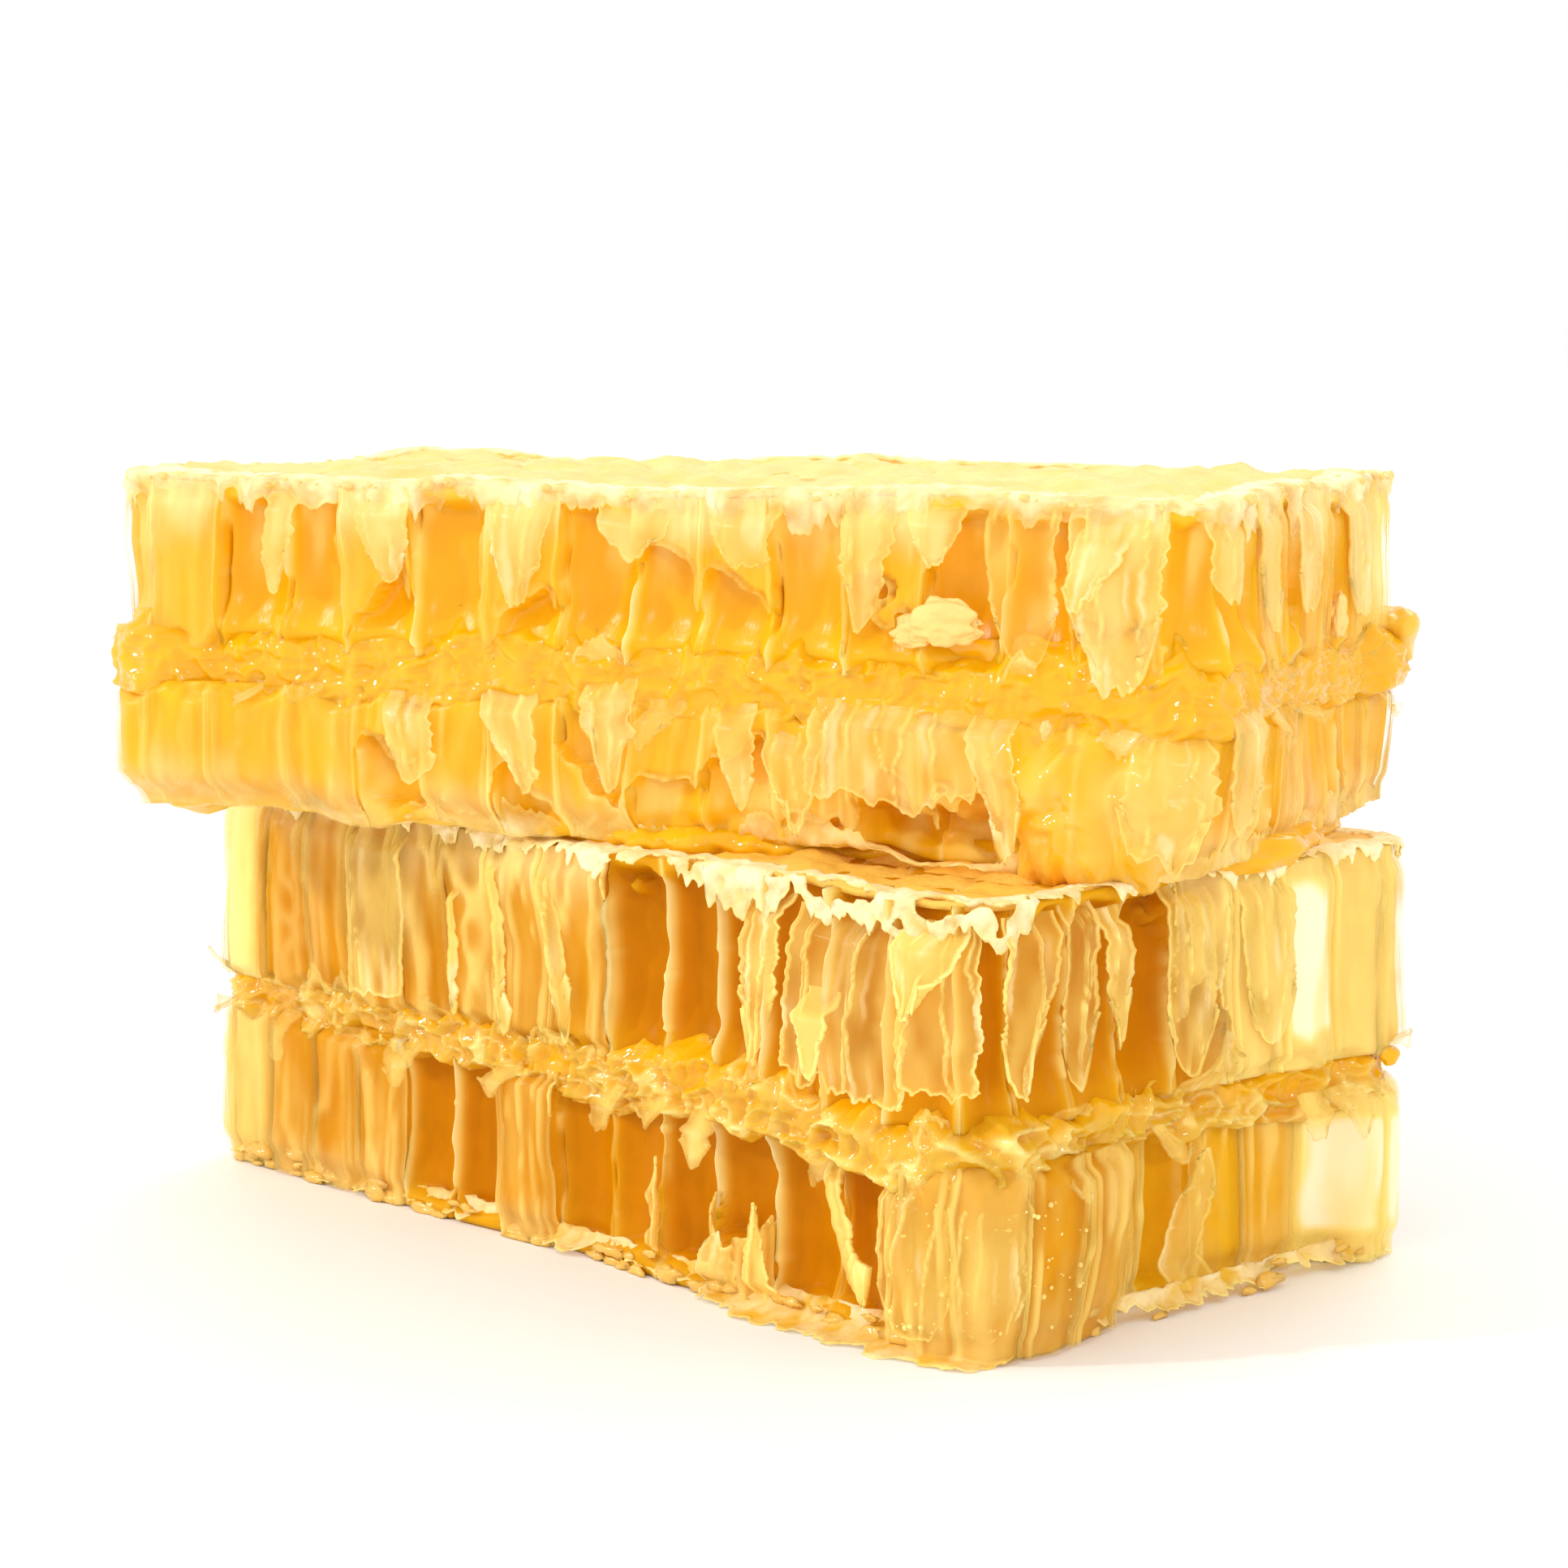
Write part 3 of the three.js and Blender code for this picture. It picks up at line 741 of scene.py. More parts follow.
def cell_surfaces(slab, name):
    """The honey of a layer of cells as points, tint and wax, and the wall wax over it as points, tint,
    wax, cover and tear field. Under whole wall wax the honey follows it."""
    grid = cell_grid(slab, name)
    out, tint, fins = bare_honey(slab, grid)
    wax_out, wax_tint, dryness, cover, field = wall_wax(slab, grid)
    tint = bleach(tint, 0.8 * grid.bleached)
    full = smooth(0.08, -0.12, field)
    out = out * (1.0 - full) + (wax_out - UNDER_WAX) * full
    shade = 0.5 + 0.4 * rough(grid.points, (2.5, 2.5, 6.0), grid.seed + 21)
    under_wax = mix(slab.colours[1], slab.colours[0], shade)
    # Painted light: the same lift to lighter honey under whole wall wax.
    under_wax = mix(under_wax, colours().upper_honey, grid.light)
    under_wax = bleach(under_wax, np.maximum(0.8 * grid.bleached, grid.drained))
    tint = mix(tint, under_wax, full)
    honey = (slab.side(grid.s, out + grid.moved, grid.z), tint, fins * (1.0 - full))
    wax = (slab.side(grid.s, wax_out + grid.moved, grid.z), wax_tint, dryness, cover, field)
    return honey, wax


def fill_pinches(kept, closed):
    """Where two kept faces of a grid would only meet at a corner, keeps the faces beside it too."""
    while True:
        before = np.roll(kept, 1, 1)
        a, b, c, d = before[:-1], kept[:-1], before[1:], kept[1:]
        pinched = (a & d & ~b & ~c) | (b & c & ~a & ~d)
        if not closed:
            pinched[:, 0] = False
        if not pinched.any():
            return kept
        kept[:-1] |= pinched
        kept[1:] |= pinched


def without_scraps(quads, count):
    """The faces without small scraps. Faces that hang together share the lowest vertex number that
    they can reach; count is the number of vertices."""
    owner = np.arange(count)
    while True:
        lowest = owner[quads].min(1)
        spread = owner.copy()
        np.minimum.at(spread, quads.ravel(), np.repeat(lowest, 4))
        spread = spread[spread]
        if np.array_equal(spread, owner):
            break
        owner = spread
    part = owner[quads[:, 0]]
    parts, faces = np.unique(part, return_counts=True)
    return quads[np.isin(part, parts[faces >= SMALLEST_SCRAP])]


def trim(co, field, closed=True):
    """Cuts a grid along the line where a field is 0 and keeps the side under 0, without small scraps.
    The points along the cut are moved on to that line by one Newton step, -f grad f / |grad f|^2, in
    steps of the grid."""
    rows, columns = field.shape
    quads = grid_faces(rows, columns, closed)
    kept = (field.ravel()[quads].mean(1) < 0.0).reshape(rows - 1, -1)
    kept = fill_pinches(kept, closed).ravel()
    inside, outside = np.zeros((2, rows * columns), bool)
    inside[quads[kept]] = True
    outside[quads[~kept]] = True
    border = (inside & outside).reshape(rows, columns)

    def slopes(values):
        """Central differences down and across the grid."""
        across = 0.5 * (np.roll(values, -1, 1) - np.roll(values, 1, 1))
        if not closed:
            across[:, [0, -1]] = 0.0
        return np.gradient(values, axis=0), across

    down, across = slopes(field)
    steep = down ** 2 + across ** 2 + 1e-9
    step_down = np.clip(-field * down / steep, -0.7, 0.7) * border
    step_across = np.clip(-field * across / steep, -0.7, 0.7) * border
    co_down, co_across = slopes(co)
    co = co + step_down[..., None] * co_down + step_across[..., None] * co_across
    return co, without_scraps(quads[kept], rows * columns)


def cap_rings(slab, co, tint, wax):
    """Adds rings drawn in to the slab's middle under the first and over the last ring, and closes both."""
    rings = []
    for ring, shares in ((co[0], (0.75, 0.3)), (co[-1], (0.3, 0.75))):
        x, y = slab.plan(ring)
        z = ring[:, 2] / MM - slab.base
        for share in shares:
            rings.append(slab.place(x * (1 - share * SLAB_WIDTH / SLAB_LENGTH), y * (1 - share), z))
    co = np.concatenate([rings[:2], co, rings[2:]])
    tint, wax = (np.concatenate([v[:1], v[:1], v, v[-1:], v[-1:]]) for v in (tint, wax))
    return closed_rings(co, tint, wax)


def along_line(x, offset):
    """Points along one axis, for noise that depends on one length only."""
    x = np.asarray(x, float)
    return np.stack([x, np.full(x.shape, float(offset)), np.full(x.shape, float(offset) * 1.7)], -1)


def frayed(x, offset, seed):
    """A ragged line: noise 2.2, 0.9, 0.4 and 0.22 mm long, the shorter the weaker."""
    line = along_line(x, offset)
    steps = ((2.2, 1.0), (0.9, 0.6), (0.4, 0.5), (0.22, 0.3))
    return sum(share * noise(line, size, seed + n) for n, (size, share) in enumerate(steps))


def sheet(slab, left, right, top, bottom, lean=0.0, taper=0.0, out=(0.5, 0.5), belly=0.3, fray=0.5,
          folds=(), tongue=0.3, crumple=0.07, curl=0.0, wax=0.5, crisp=1.0, step=0.2, thick=1.0):
    """A torn sheet of wax over a slab's side, fixed along its top and frayed elsewhere. With u across
    and v down, both from 0 to 1: it leans by lean v, narrows by taper v^1.5 and stands out by a line
    from out[0] to out[1] with belly sin(pi u) sin(pi v), a ridge at each fold, noise that crumples it
    and edges that curl by the square of the nearness of the edge. tongue is the share of its height
    that its lower corners are cut back by. More wax makes it paler and less clear, crisp is how strong
    its pale lines are, and thick its thickness in films. A top under the bottom hangs it upside down,
    as a wall that stands on the midrib does."""
    width, height = right - left, abs(top - bottom)
    seed = int(abs(left) * 37 + top * 11 + 5) % 9000
    columns = max(5, int(round(width / step)) + 1)
    rows = max(5, int(round(height / step)) + 1)
    u, v = np.meshgrid(np.linspace(0, 1, columns), np.linspace(0, 1, rows))
    across, down = u * width, v * height
    narrow = 0.5 * taper * v ** 1.5 * (1.0 - 2.0 * u)
    s = left + across + lean * v + narrow
    start = smooth(0.0, 0.12, v)
    s += 0.45 * fray * start * (frayed(down, 3, seed) * (1 - u) ** 2 - frayed(down, 8, seed + 9) * u ** 2)
    teeth = np.abs(noise(along_line(across, 17), 1.1, seed + 25))
    cut = 0.9 * fray * (frayed(across + 50, 5, seed + 20) + 1.4 * teeth)
    cut += tongue * height * np.abs(2.0 * u - 1.0) ** 2.5
    z = top + (bottom - top) * v * (1.0 - cut / height * v ** 2)

    flat = np.stack([across, down, np.full(u.shape, left)], -1)
    stand = out[0] + (out[1] - out[0]) * v ** 1.2 + belly * np.sin(math.pi * u) * np.sin(math.pi * v)
    stand = SHEET_ROOT + (stand - SHEET_ROOT) * smooth(0.0, 1.6, down)
    lines = np.zeros(u.shape)
    for fold in folds:
        slope = 0.3 * float(chance(int(fold * 10), seed)) - 0.15
        off = across - fold - slope * down - 0.4 * noise(along_line(down, fold), 2.2, seed + 30)
        present = smooth(-0.7, 0.1, noise(along_line(down, fold + 3), 2.0, seed + 31))
        stand += 0.2 * bell(off, 0.12) * present
        lines = np.maximum(lines, bell(off, 0.07) * present)
    rim = np.minimum(np.minimum(across, width - across), height - down)
    stand += crumple * rough(flat, 1.5, seed + 40) + curl * np.clip(1.0 - rim / 1.3, 0.0, 1.0) ** 2

    lines = np.maximum(lines, bell(rim, 0.14))
    patch = np.clip(wax + (0.15 + 0.4 * wax) * noise(flat, (1.1, 2.2, 1.0), seed + 50), 0.0, 1.0)
    lines *= crisp
    streaks = smooth(0.1, 0.7, noise(flat, (0.45, 5.0, 1.0), seed + 60))
    streaks = streaks * smooth(-0.4, 0.4, noise(flat, 2.4, seed + 61))
    pale = colours().line if slab.name == "lower" else colours().veil
    flake = mix(colours().flake, slab.colours[1], 0.3)
    tint = mix(mix(flake, pale, 0.6 * patch), colours().line, 0.9 * lines)
    tint = mix(tint, colours().window, 0.4 * streaks)
    hides = (0.06 + 0.46 * patch + 0.2 * streaks) * (crisp + (1.0 - crisp) * smooth(0.0, 0.8, rim))
    form = Form(
        slab.side(s, stand, z), grid_faces(rows, columns, False), tint,
        np.clip(0.8 * patch + 0.5 * lines, 0.0, 1.0), np.clip(hides + 0.55 * lines, 0.0, 1.0),
    )
    return thicken(form, thick * film_thickness())


def apron(slab, path, reach, seed, rows, wax, step=0.2, sink=0.0, fade=0.0, holes=()):
    """A frayed skirt of wax all round a slab. path turns the length from its inner edge into how far
    out and how high it lies, and reach gives its whole length at each place. sink draws its outer edge
    in, and fade is how much less that edge hides. holes are stretches (start, end, soft) where noise
    tears it open."""
    count = int(round(ROUND / step))
    s, v = np.meshgrid(np.arange(count) * ROUND / count, np.linspace(0, 1, rows))
    base = slab.side(s, 0.0, 0.0) / MM
    fringe = noise(base, 1.9, seed) + 0.6 * noise(base, 0.8, seed + 1) + 0.35 * noise(base, 0.4, seed + 2)
    length = np.maximum(reach(s) + 0.6 * fringe + 0.4 * noise(base, 3.6, seed + 3), 0.4)
    p = v * length
    out, z = path(p)
    points = slab.side(s, out, z) / MM
    crust = rough(points, 0.9, seed + 5) + 0.7 * noise(points, 0.4, seed + 10)
    out = out + 0.2 * rough(points, (2.2, 2.2, 1.6), seed + 5) + 0.28 * crust - sink * v ** 4
    z = z + 0.16 * rough(points, 1.5, seed + 6) + 0.15 * noise(points, 0.7, seed + 7)
    rim = bell(length - p, 0.25)
    patch = np.clip(wax + 0.4 * noise(points, (1.6, 1.6, 1.2), seed + 8), 0.0, 1.0)
    torn = sum(hump(s, *hole) for hole in holes) * (1.2 - np.abs(2 * v - 0.9)) if holes else 0.0
    gap = noise(points, (1.8, 1.8, 1.2), seed + 12) + 0.5 * noise(points, 0.8, seed + 13) + torn - 1.2
    rim = np.maximum(rim, bell(gap, 0.12))
    cream = mix(colours().veil, colours().window, 0.4)
    tint = mix(colours().midrib, cream, patch + 0.25 * crust)
    tint = mix(tint, colours().line, 0.6 * rim)
    cover = 1.3 - fade * v + 0.5 * noise(points, (1.2, 1.2, 1.6), seed + 9) + 0.3 * rim
    co, quads = trim(slab.side(s, out, z), gap)
    form = Form(co, quads, tint, np.clip(patch + rim, 0, 1), np.clip(cover, 0.1, 1.0))
    return thicken(form, 0.3 - 0.24 * v)


def blobs(slab, places, halves, seed, uneven, rings, tone, crags=0.0, wax=0.0):
    """Drops, bubbles or crumbs: balls at places (along, out, up) round a slab, with half axes in the
    same order. Each one's radius is varied by its own part of a noise field, and crags are sharp
    dents in it."""
    places, halves = np.asarray(places, float), np.asarray(halves, float)
    columns = 2 * rings
    a = (np.arange(rings) + 0.5) / rings * math.pi
    b = np.arange(columns) / columns * 2.0 * math.pi
    b, a = np.meshgrid(b, a)
    ball = np.stack([np.sin(a) * np.cos(b), -np.sin(a) * np.sin(b), -np.cos(a)], -1)
    own = ball + 7.3 * np.arange(len(places))[:, None, None, None]
    lump = 1.0 + uneven * rough(own, 0.9, seed)
    lump -= crags * (np.abs(noise(own, 0.5, seed + 3)) + np.abs(noise(own, 0.25, seed + 4)))
    local = places[:, None, None, :] + ball * lump[..., None] * halves[:, None, None, :]
    co = slab.side(local[..., 0], local[..., 1], local[..., 2])
    tint = np.broadcast_to(np.asarray(tone, float), co.shape[1:])
    return join([closed_rings(one, tint, np.full(one.shape[:2], wax)) for one in co])


def midrib_layer(slab, swells, rise, dry, rugged, seed):
    """A midrib: a ring whose section runs out over the lower cells to a crumpled face and back over the
    floors of the upper ones, where honey lies on it. Both its edges wander up and down by noise, and
    the upper one also by rise. swells are humps in how far it stands out. dry is the share of bare
    wax and rugged the share of the crumpling, both from 0 to 1."""
    low, high = slab.span("midrib")
    rows, columns = MIDRIB_GRID
    s, t = np.meshgrid(np.arange(columns) * ROUND / columns, np.linspace(0, 1, rows))
    base = slab.side(s, 0.0, 0.0) / MM
    under = 0.8 * rough(base, 4.5, seed) - 1.3 * np.abs(noise(base, 1.9, seed + 1)) + 0.4
    over = 0.9 * rough(base, 5.5, seed + 7) + 1.1 * np.abs(noise(base, 1.5, seed + 8)) - 0.3
    bottom, top = low - 0.7 + under, high + 0.4 + rise(s) + over
    z = bottom + (top - bottom) * t
    points = slab.side(s, 0.0, z) / MM
    fall = (1.4 + dry) * smooth(0.6, 1.0, t) ** 1.6 + 0.9 * smooth(0.1, 0.0, t)
    bent = points + 0.7 * np.stack([noise(points, 1.9, seed + n) for n in (31, 32, 33)], -1)
    crags = (1.0 - np.abs(noise(bent, (2.4, 2.4, 1.5), seed + 2))) ** 5
    crags += 0.5 * (1.0 - np.abs(noise(bent, (1.0, 1.0, 0.8), seed + 3))) ** 4
    crumple = 0.45 * rough(points, (2.6, 2.6, 1.8), seed + 2) + 0.75 * crags - 0.6
    crumple += 0.3 * rough(bent, (0.9, 0.9, 0.6), seed + 11)
    crumple *= rugged
    creases = veins(points, (2.2, 2.2, 1.2), seed + 9)
    out = -0.1 + crumple * smooth(0, 0.15, t) - fall + swell(s, swells) + 0.15 * creases

    wet = smooth(-0.2, 0.35, noise(points, (4.5, 4.5, 2.0), seed + 4) + 1.6 * (t - 0.1 - 0.5 * dry))
    wet = np.maximum(wet, 1.0 - 1.2 * dry)
    tint = mix(slab.colours[1], colours().midrib, smooth(-0.8, 0.1, crumple))
    tint = mix(tint, colours().pool, wet)
    crust = dry * smooth(0.1, 0.5, rough(points, 1.6, seed + 5) + 0.5 * crumple) * (1 - 0.7 * wet)
    tint = mix(tint, colours().line, np.clip(0.6 * crust + 0.6 * dry * creases * (1 - wet), 0, 1))
    return cap_rings(slab, slab.side(s, out, z), tint, np.clip(0.3 * (1 - wet) + 0.4 * crust, 0, 1))


def hex_domes(x, y, pitch):
    """1 over the middle of each cell and 0 at its rim: the nearest of two lattices of middles."""
    tall = pitch * math.sqrt(3.0)
    nearest = np.full(np.shape(x), 9.0e9)
    for shift in (0.0, 0.5):
        dx = x / pitch + shift
        dy = y / tall + shift
        near = ((dx - np.round(dx)) * pitch) ** 2 + ((dy - np.round(dy)) * tall) ** 2
        nearest = np.minimum(nearest, near)
    return np.clip(1.0 - nearest / (pitch * 0.55) ** 2, 0.0, 1.0)


def capping_plate(slab, layer, columns, ring_step, seed, dry, bulges):
    """A capping: a closed plate whose far face has a dome over each cell, with wrinkles and crumbs. It
    is a row of rings: the near face, the side, and rings drawn in over the far face. bulges are humps
    in how far its side stands out, and dry is the share of pale wax, from 0 to 1."""
    low, high = slab.span(layer)
    near, far = (low + 0.35, high) if layer.startswith("top") else (high - 0.35, low)
    turn = 1.0 if far > near else -1.0
    s = np.arange(columns) * ROUND / columns
    edge = slab.side(s, 0.0, low) / MM
    ragged = 0.35 * noise(edge, 2.4, seed) + 0.25 * noise(edge, 1.0, seed + 1) + 1.4 * swell(s, bulges)
    x, y = slab.plan(slab.side(s, (-0.6 if turn > 0 else -1.1) + 0.6 * ragged, low))
    # For each ring: its share of the way to the middle, its level, and its share of the relief.
    rows = [(0.6, near, 0.0), (0.06, near, 0.0), (0.0, near + turn * 0.1, 0.0)]
    inner = np.linspace(0.0, 0.995, int(round(SLAB_WIDTH / 2 / ring_step)))
    rows += [(share, far, min(1.0, share * 12)) for share in inner]
    rings = []
    for share, z, relief in rows:
        px, py = x * (1 - share * SLAB_WIDTH / SLAB_LENGTH), y * (1 - share)
        flat = np.stack([px, py, np.zeros_like(px)], -1)
        height = 0.5 * hex_domes(px + 0.5 * noise(flat, 6.0, seed + 2), py, CELL_PITCH) - 0.35
        height += 0.4 * rough(flat, 1.7, seed + 3) + 0.25 * noise(flat, 9.0, seed + 4)
        level = z + turn * relief * height - turn * 0.15 * (1 - relief)
        rings.append(slab.place(px, py, level + slab.waver(px, py, level)))
    co = np.stack(rings)
    patch = np.clip(dry + 0.5 * rough(co / MM, (2.6, 2.6, 2.6), seed + 5), 0.0, 1.0)
    tint = mix(mix(slab.colours[1], colours().line, 0.3), colours().capping, patch)
    if layer == "top_capping" and slab.name == "lower":
        tint = mix(tint, colours().upper_honey, 0.55 * hump(s, 40.0, RIGHT + 8.0, 6.0))
    if turn < 0:
        co, tint, patch = co[::-1], tint[::-1], patch[::-1]
    return closed_rings(co, tint, patch, int((RIGHT + SLAB_WIDTH / 2) / ROUND * columns))


def over_the_edge(inner, lip, top):
    """A path that runs out over the top and turns down at the lip with a soft bend."""
    def path(p):
        down = SOFT_BEND * np.log1p(np.exp((p - inner) / SOFT_BEND))
        return p - down - inner + lip, top - down
    return path


def under_the_edge(inner, lip, low):
    """A path that runs out underneath and turns up at the lip with a soft bend."""
    above = over_the_edge(inner, lip, 0.0)

    def path(p):
        out, height = above(p)
        return out, low - height
    return path


class HONEYCOMB_OT_cells(bpy.types.Operator):
    """The honey of the four layers of cells, and the wall wax that stands over it"""

    bl_idname = "honeycomb.cells"
    bl_label = "Cells"

    def execute(self, context):
        film = finish("cell_wall_film")
        for slab in make_slabs():
            honey_look = finish(f"{slab.name}_honey_in_cells")
            for layer in ("bottom_cells", "top_cells"):
                name = f"{slab.name}_{layer}"
                honey, (co, tint, wax, cover, field) = cell_surfaces(slab, name)
                put(f"{name}_honey", cap_rings(slab, *honey), honey_look, [name])
                co, quads = trim(co, field)
                walls = thicken(Form(co, quads, tint, wax, cover), WALL_FILMS * film_thickness())
                put(f"{name}_walls", walls, film)
        return {"FINISHED"}


class HONEYCOMB_OT_midribs(bpy.types.Operator):
    """The midribs, with the honey that lies along them"""

    bl_idname = "honeycomb.midribs"
    bl_label = "Midribs"

    def execute(self, context):
        material = finish("midrib_wax_and_honey")
        lower, upper = make_slabs()
        lower_form = midrib_layer(
            lower, [(56, RIGHT + 4, 5.0, 0.9), (*LOST_ROW, -1.0)],
            lambda s: 0.3 + 0.8 * hump(s, 44, 60, 4.0), dry=1.0, rugged=1.0, seed=71,
        )
        put("lower_midrib_wax", lower_form, material, ["lower_midrib"])
        upper_swells = [
            (14, 52, 8.0, -0.2), (64, RIGHT, 4.0, 0.4),
            (RIGHT + 34, BACK + 1, 2.5, 1.4), (LEFT + 14, ROUND + 3, 5.0, 1.4),
        ]
        upper_form = midrib_layer(
            upper, upper_swells, lambda s: 0.7 + 0.8 * hump(s, 20, 72, 6.0), dry=0.15, rugged=0.6, seed=83,
        )
        put("upper_midrib_wax", upper_form, material, ["upper_midrib"])
        return {"FINISHED"}


class HONEYCOMB_OT_cappings(bpy.types.Operator):
    """The four cappings and the frayed rims that hang from them"""

    bl_idname = "honeycomb.cappings"
    bl_label = "Cappings"

    def execute(self, context):
        crust = finish("capping_crust")
        veil = finish("capping_veil")
        lower, upper = make_slabs()
        lower_foot = [(50, RIGHT + 10, 4.0, 0.9), (*LOST_ROW, -3.0)]
        upper_foot = [(55, 61, 2.5, -4.5), (LEFT + 4, ROUND + 8, 5.0, 0.8)]
        for slab, layer, columns, step, seed, dry, bulges in (
            (lower, "bottom_capping", 580, 1.0, 101, 0.1, lower_foot),
            (lower, "top_capping", 580, 0.6, 113, 0.55, [(58, RIGHT - 2, 3.0, 0.8)]),
            (upper, "bottom_capping", 580, 0.6, 127, 0.0, upper_foot),
            (upper, "top_capping", 760, 0.5, 139, 0.8, []),
        ):
            node = f"{slab.name}_{layer}"
            plate = capping_plate(slab, layer, columns, step, seed, dry, bulges)
            put(f"{node}_wax", plate, crust, [node])

        top = upper.span("top_capping")[1]
        drips = apron(
            upper, over_the_edge(2.6, 0.2, top + 0.05),
            lambda s: 3.9 + 1.5 * np.maximum(0, frayed(s, 4, 7)) + 0.5 * noise(along_line(s, 4), 5.0, 7),
            seed=151, rows=23, wax=0.85, sink=0.5, fade=1.1,
        )
        put("upper_top_rim", drips, veil)
        top = lower.span("top_capping")[1]
        net = apron(
            lower, over_the_edge(1.8, 0.6, top - 0.1),
            lambda s: 2.2 + 1.7 * hump(s, 55, 77, 5.0) + 0.9 * frayed(s, 4, 9),
            seed=163, rows=22, wax=0.75, step=0.18, holes=[(46, 62, 2.0), (64, 80, 2.0)],
        )
        put("lower_top_rim", net, crust)
        flange = apron(
            lower, lambda p: (p - 1.0, 0.15 + 1.5 * np.exp(-p / 0.8)),
            lambda s: 0.9 + 2.2 * hump(s, 56, 75, 5.0) + 0.6 * frayed(s, 5, 13),
            seed=171, rows=9, wax=0.3,
        )
        put("lower_bottom_rim", flange, crust)
        low = upper.span("bottom_capping")[0]
        hem = apron(
            upper, under_the_edge(1.8, -0.1, low + 0.1),
            lambda s: 3.0 + 0.8 * frayed(s, 6, 11) - 1.6 * hump(s, 55, 61, 2.5),
            seed=187, rows=10, wax=0.4, sink=0.3, fade=0.9,
        )
        put("upper_bottom_rim", hem, veil)
        return {"FINISHED"}


# Torn sheets that are placed one by one, most of them near the corner at RIGHT. left and right are places
# along the outline, and top and bottom heights, as in sheet().
LOWER_SHEETS = [
    dict(left=18.2, right=24.0, top=26.0, bottom=14.2, out=(1.0, 1.0), belly=0.4, fray=0.4,
         folds=(0.5, 5.2), wax=0.5, tongue=0.03),
    dict(left=28.8, right=29.6, top=23.4, bottom=14.0, lean=0.4, taper=0.1, out=(0.9, 1.2), fray=0.7,
         wax=0.7, crumple=0.12, tongue=0.1),
    dict(left=33.0, right=33.9, top=25.8, bottom=14.0, lean=1.3, taper=0.1, out=(0.9, 1.3), fray=0.7,
         wax=0.75, crumple=0.12, tongue=0.1),
    dict(left=37.6, right=39.4, top=25.8, bottom=14.0, lean=2.4, taper=0.7, out=(0.9, 1.2), belly=0.5,
         fray=0.5, folds=(0.5, 1.4), wax=0.5),
    dict(left=57.0, right=60.4, top=25.6, bottom=15.6, lean=-1.0, taper=1.2, out=(0.4, 0.2), fray=1.1,
         folds=(1.2, 2.2), wax=0.75, step=0.11),
    dict(left=60.9, right=71.2, top=25.2, bottom=14.6, out=(0.5, 0.9), belly=0.5, fray=0.9,
         tongue=0.05, folds=(1.7, 2.1, 5.4, 6.3, 9.6), wax=0.3, step=0.11),
    dict(left=70.6, right=76.2, top=25.4, bottom=15.0, out=(0.7, 1.0), belly=0.6, fray=0.7, tongue=0.1,
         folds=(0.5, 0.9, 3.1, 5.0), wax=0.35, step=0.11),
    dict(left=70.4, right=75.4, top=25.6, bottom=20.2, lean=-0.8, taper=3.4, out=(1.0, 1.5), belly=0.6,
         fray=0.6, folds=(1.5, 3.0), wax=0.85, curl=0.5, step=0.11),
    dict(left=62.0, right=64.6, top=20.4, bottom=16.0, lean=1.2, taper=1.2, out=(1.0, 1.6), fray=0.8,
         wax=0.95, curl=0.3, step=0.11),
    dict(left=78.0, right=82.4, top=26.0, bottom=15.4, lean=-1.6, taper=2.2, out=(0.6, 0.9), belly=0.9,
         fray=0.7, folds=(0.6, 2.4), wax=0.3, curl=0.3, step=0.11),
    dict(left=83.0, right=85.8, top=26.2, bottom=14.4, out=(0.4, 0.4), fray=0.6, folds=(1.3, 2.1),
         wax=0.2),
    dict(left=86.2, right=88.4, top=25.5, bottom=17.0, lean=0.4, taper=1.0, out=(0.4, 0.6), fray=1.1,
         folds=(0.9,), wax=0.6),
    dict(left=92.0, right=96.2, top=26.2, bottom=14.5, out=(0.5, 0.5), belly=0.5, fray=0.5,
         folds=(1.0, 2.9), wax=0.45),
    dict(left=99.0, right=103.4, top=26.2, bottom=15.2, lean=0.5, out=(0.4, 0.4), belly=0.5, fray=0.6,
         folds=(1.4, 3.0), wax=0.65),
    dict(left=94.0, right=98.0, top=1.0, bottom=9.8, lean=2.2, taper=2.0, out=(-2.4, -1.6), belly=0.8,
         fray=0.6, folds=(1.6,), wax=0.3),
    dict(left=63.6, right=64.6, top=10.4, bottom=1.8, lean=3.4, taper=0.5, out=(0.2, 0.6), fray=0.7,
         wax=0.9, step=0.11, crumple=0.2, thick=2.0),
    dict(left=57.6, right=60.2, top=0.6, bottom=6.8, lean=-0.6, taper=2.2, out=(1.0, 0.7), fray=0.9,
         folds=(0.9,), wax=0.85, step=0.11, crumple=0.3),
    dict(left=52.6, right=56.4, top=0.4, bottom=4.4, lean=0.4, taper=1.4, out=(0.8, 0.6), fray=1.0,
         wax=0.7, crumple=0.3),
    dict(left=69.4, right=74.6, top=10.6, bottom=0.9, out=(0.9, 1.2), belly=0.8, fray=0.3,
         folds=(0.5, 1.3, 2.4, 4.7), wax=0.2, step=0.11),
    dict(left=74.2, right=79.2, top=10.6, bottom=1.3, out=(0.9, 1.1), belly=0.7, fray=0.3,
         folds=(0.4, 1.5, 2.4, 3.9, 4.4), wax=0.35, step=0.11, crumple=0.14),
]

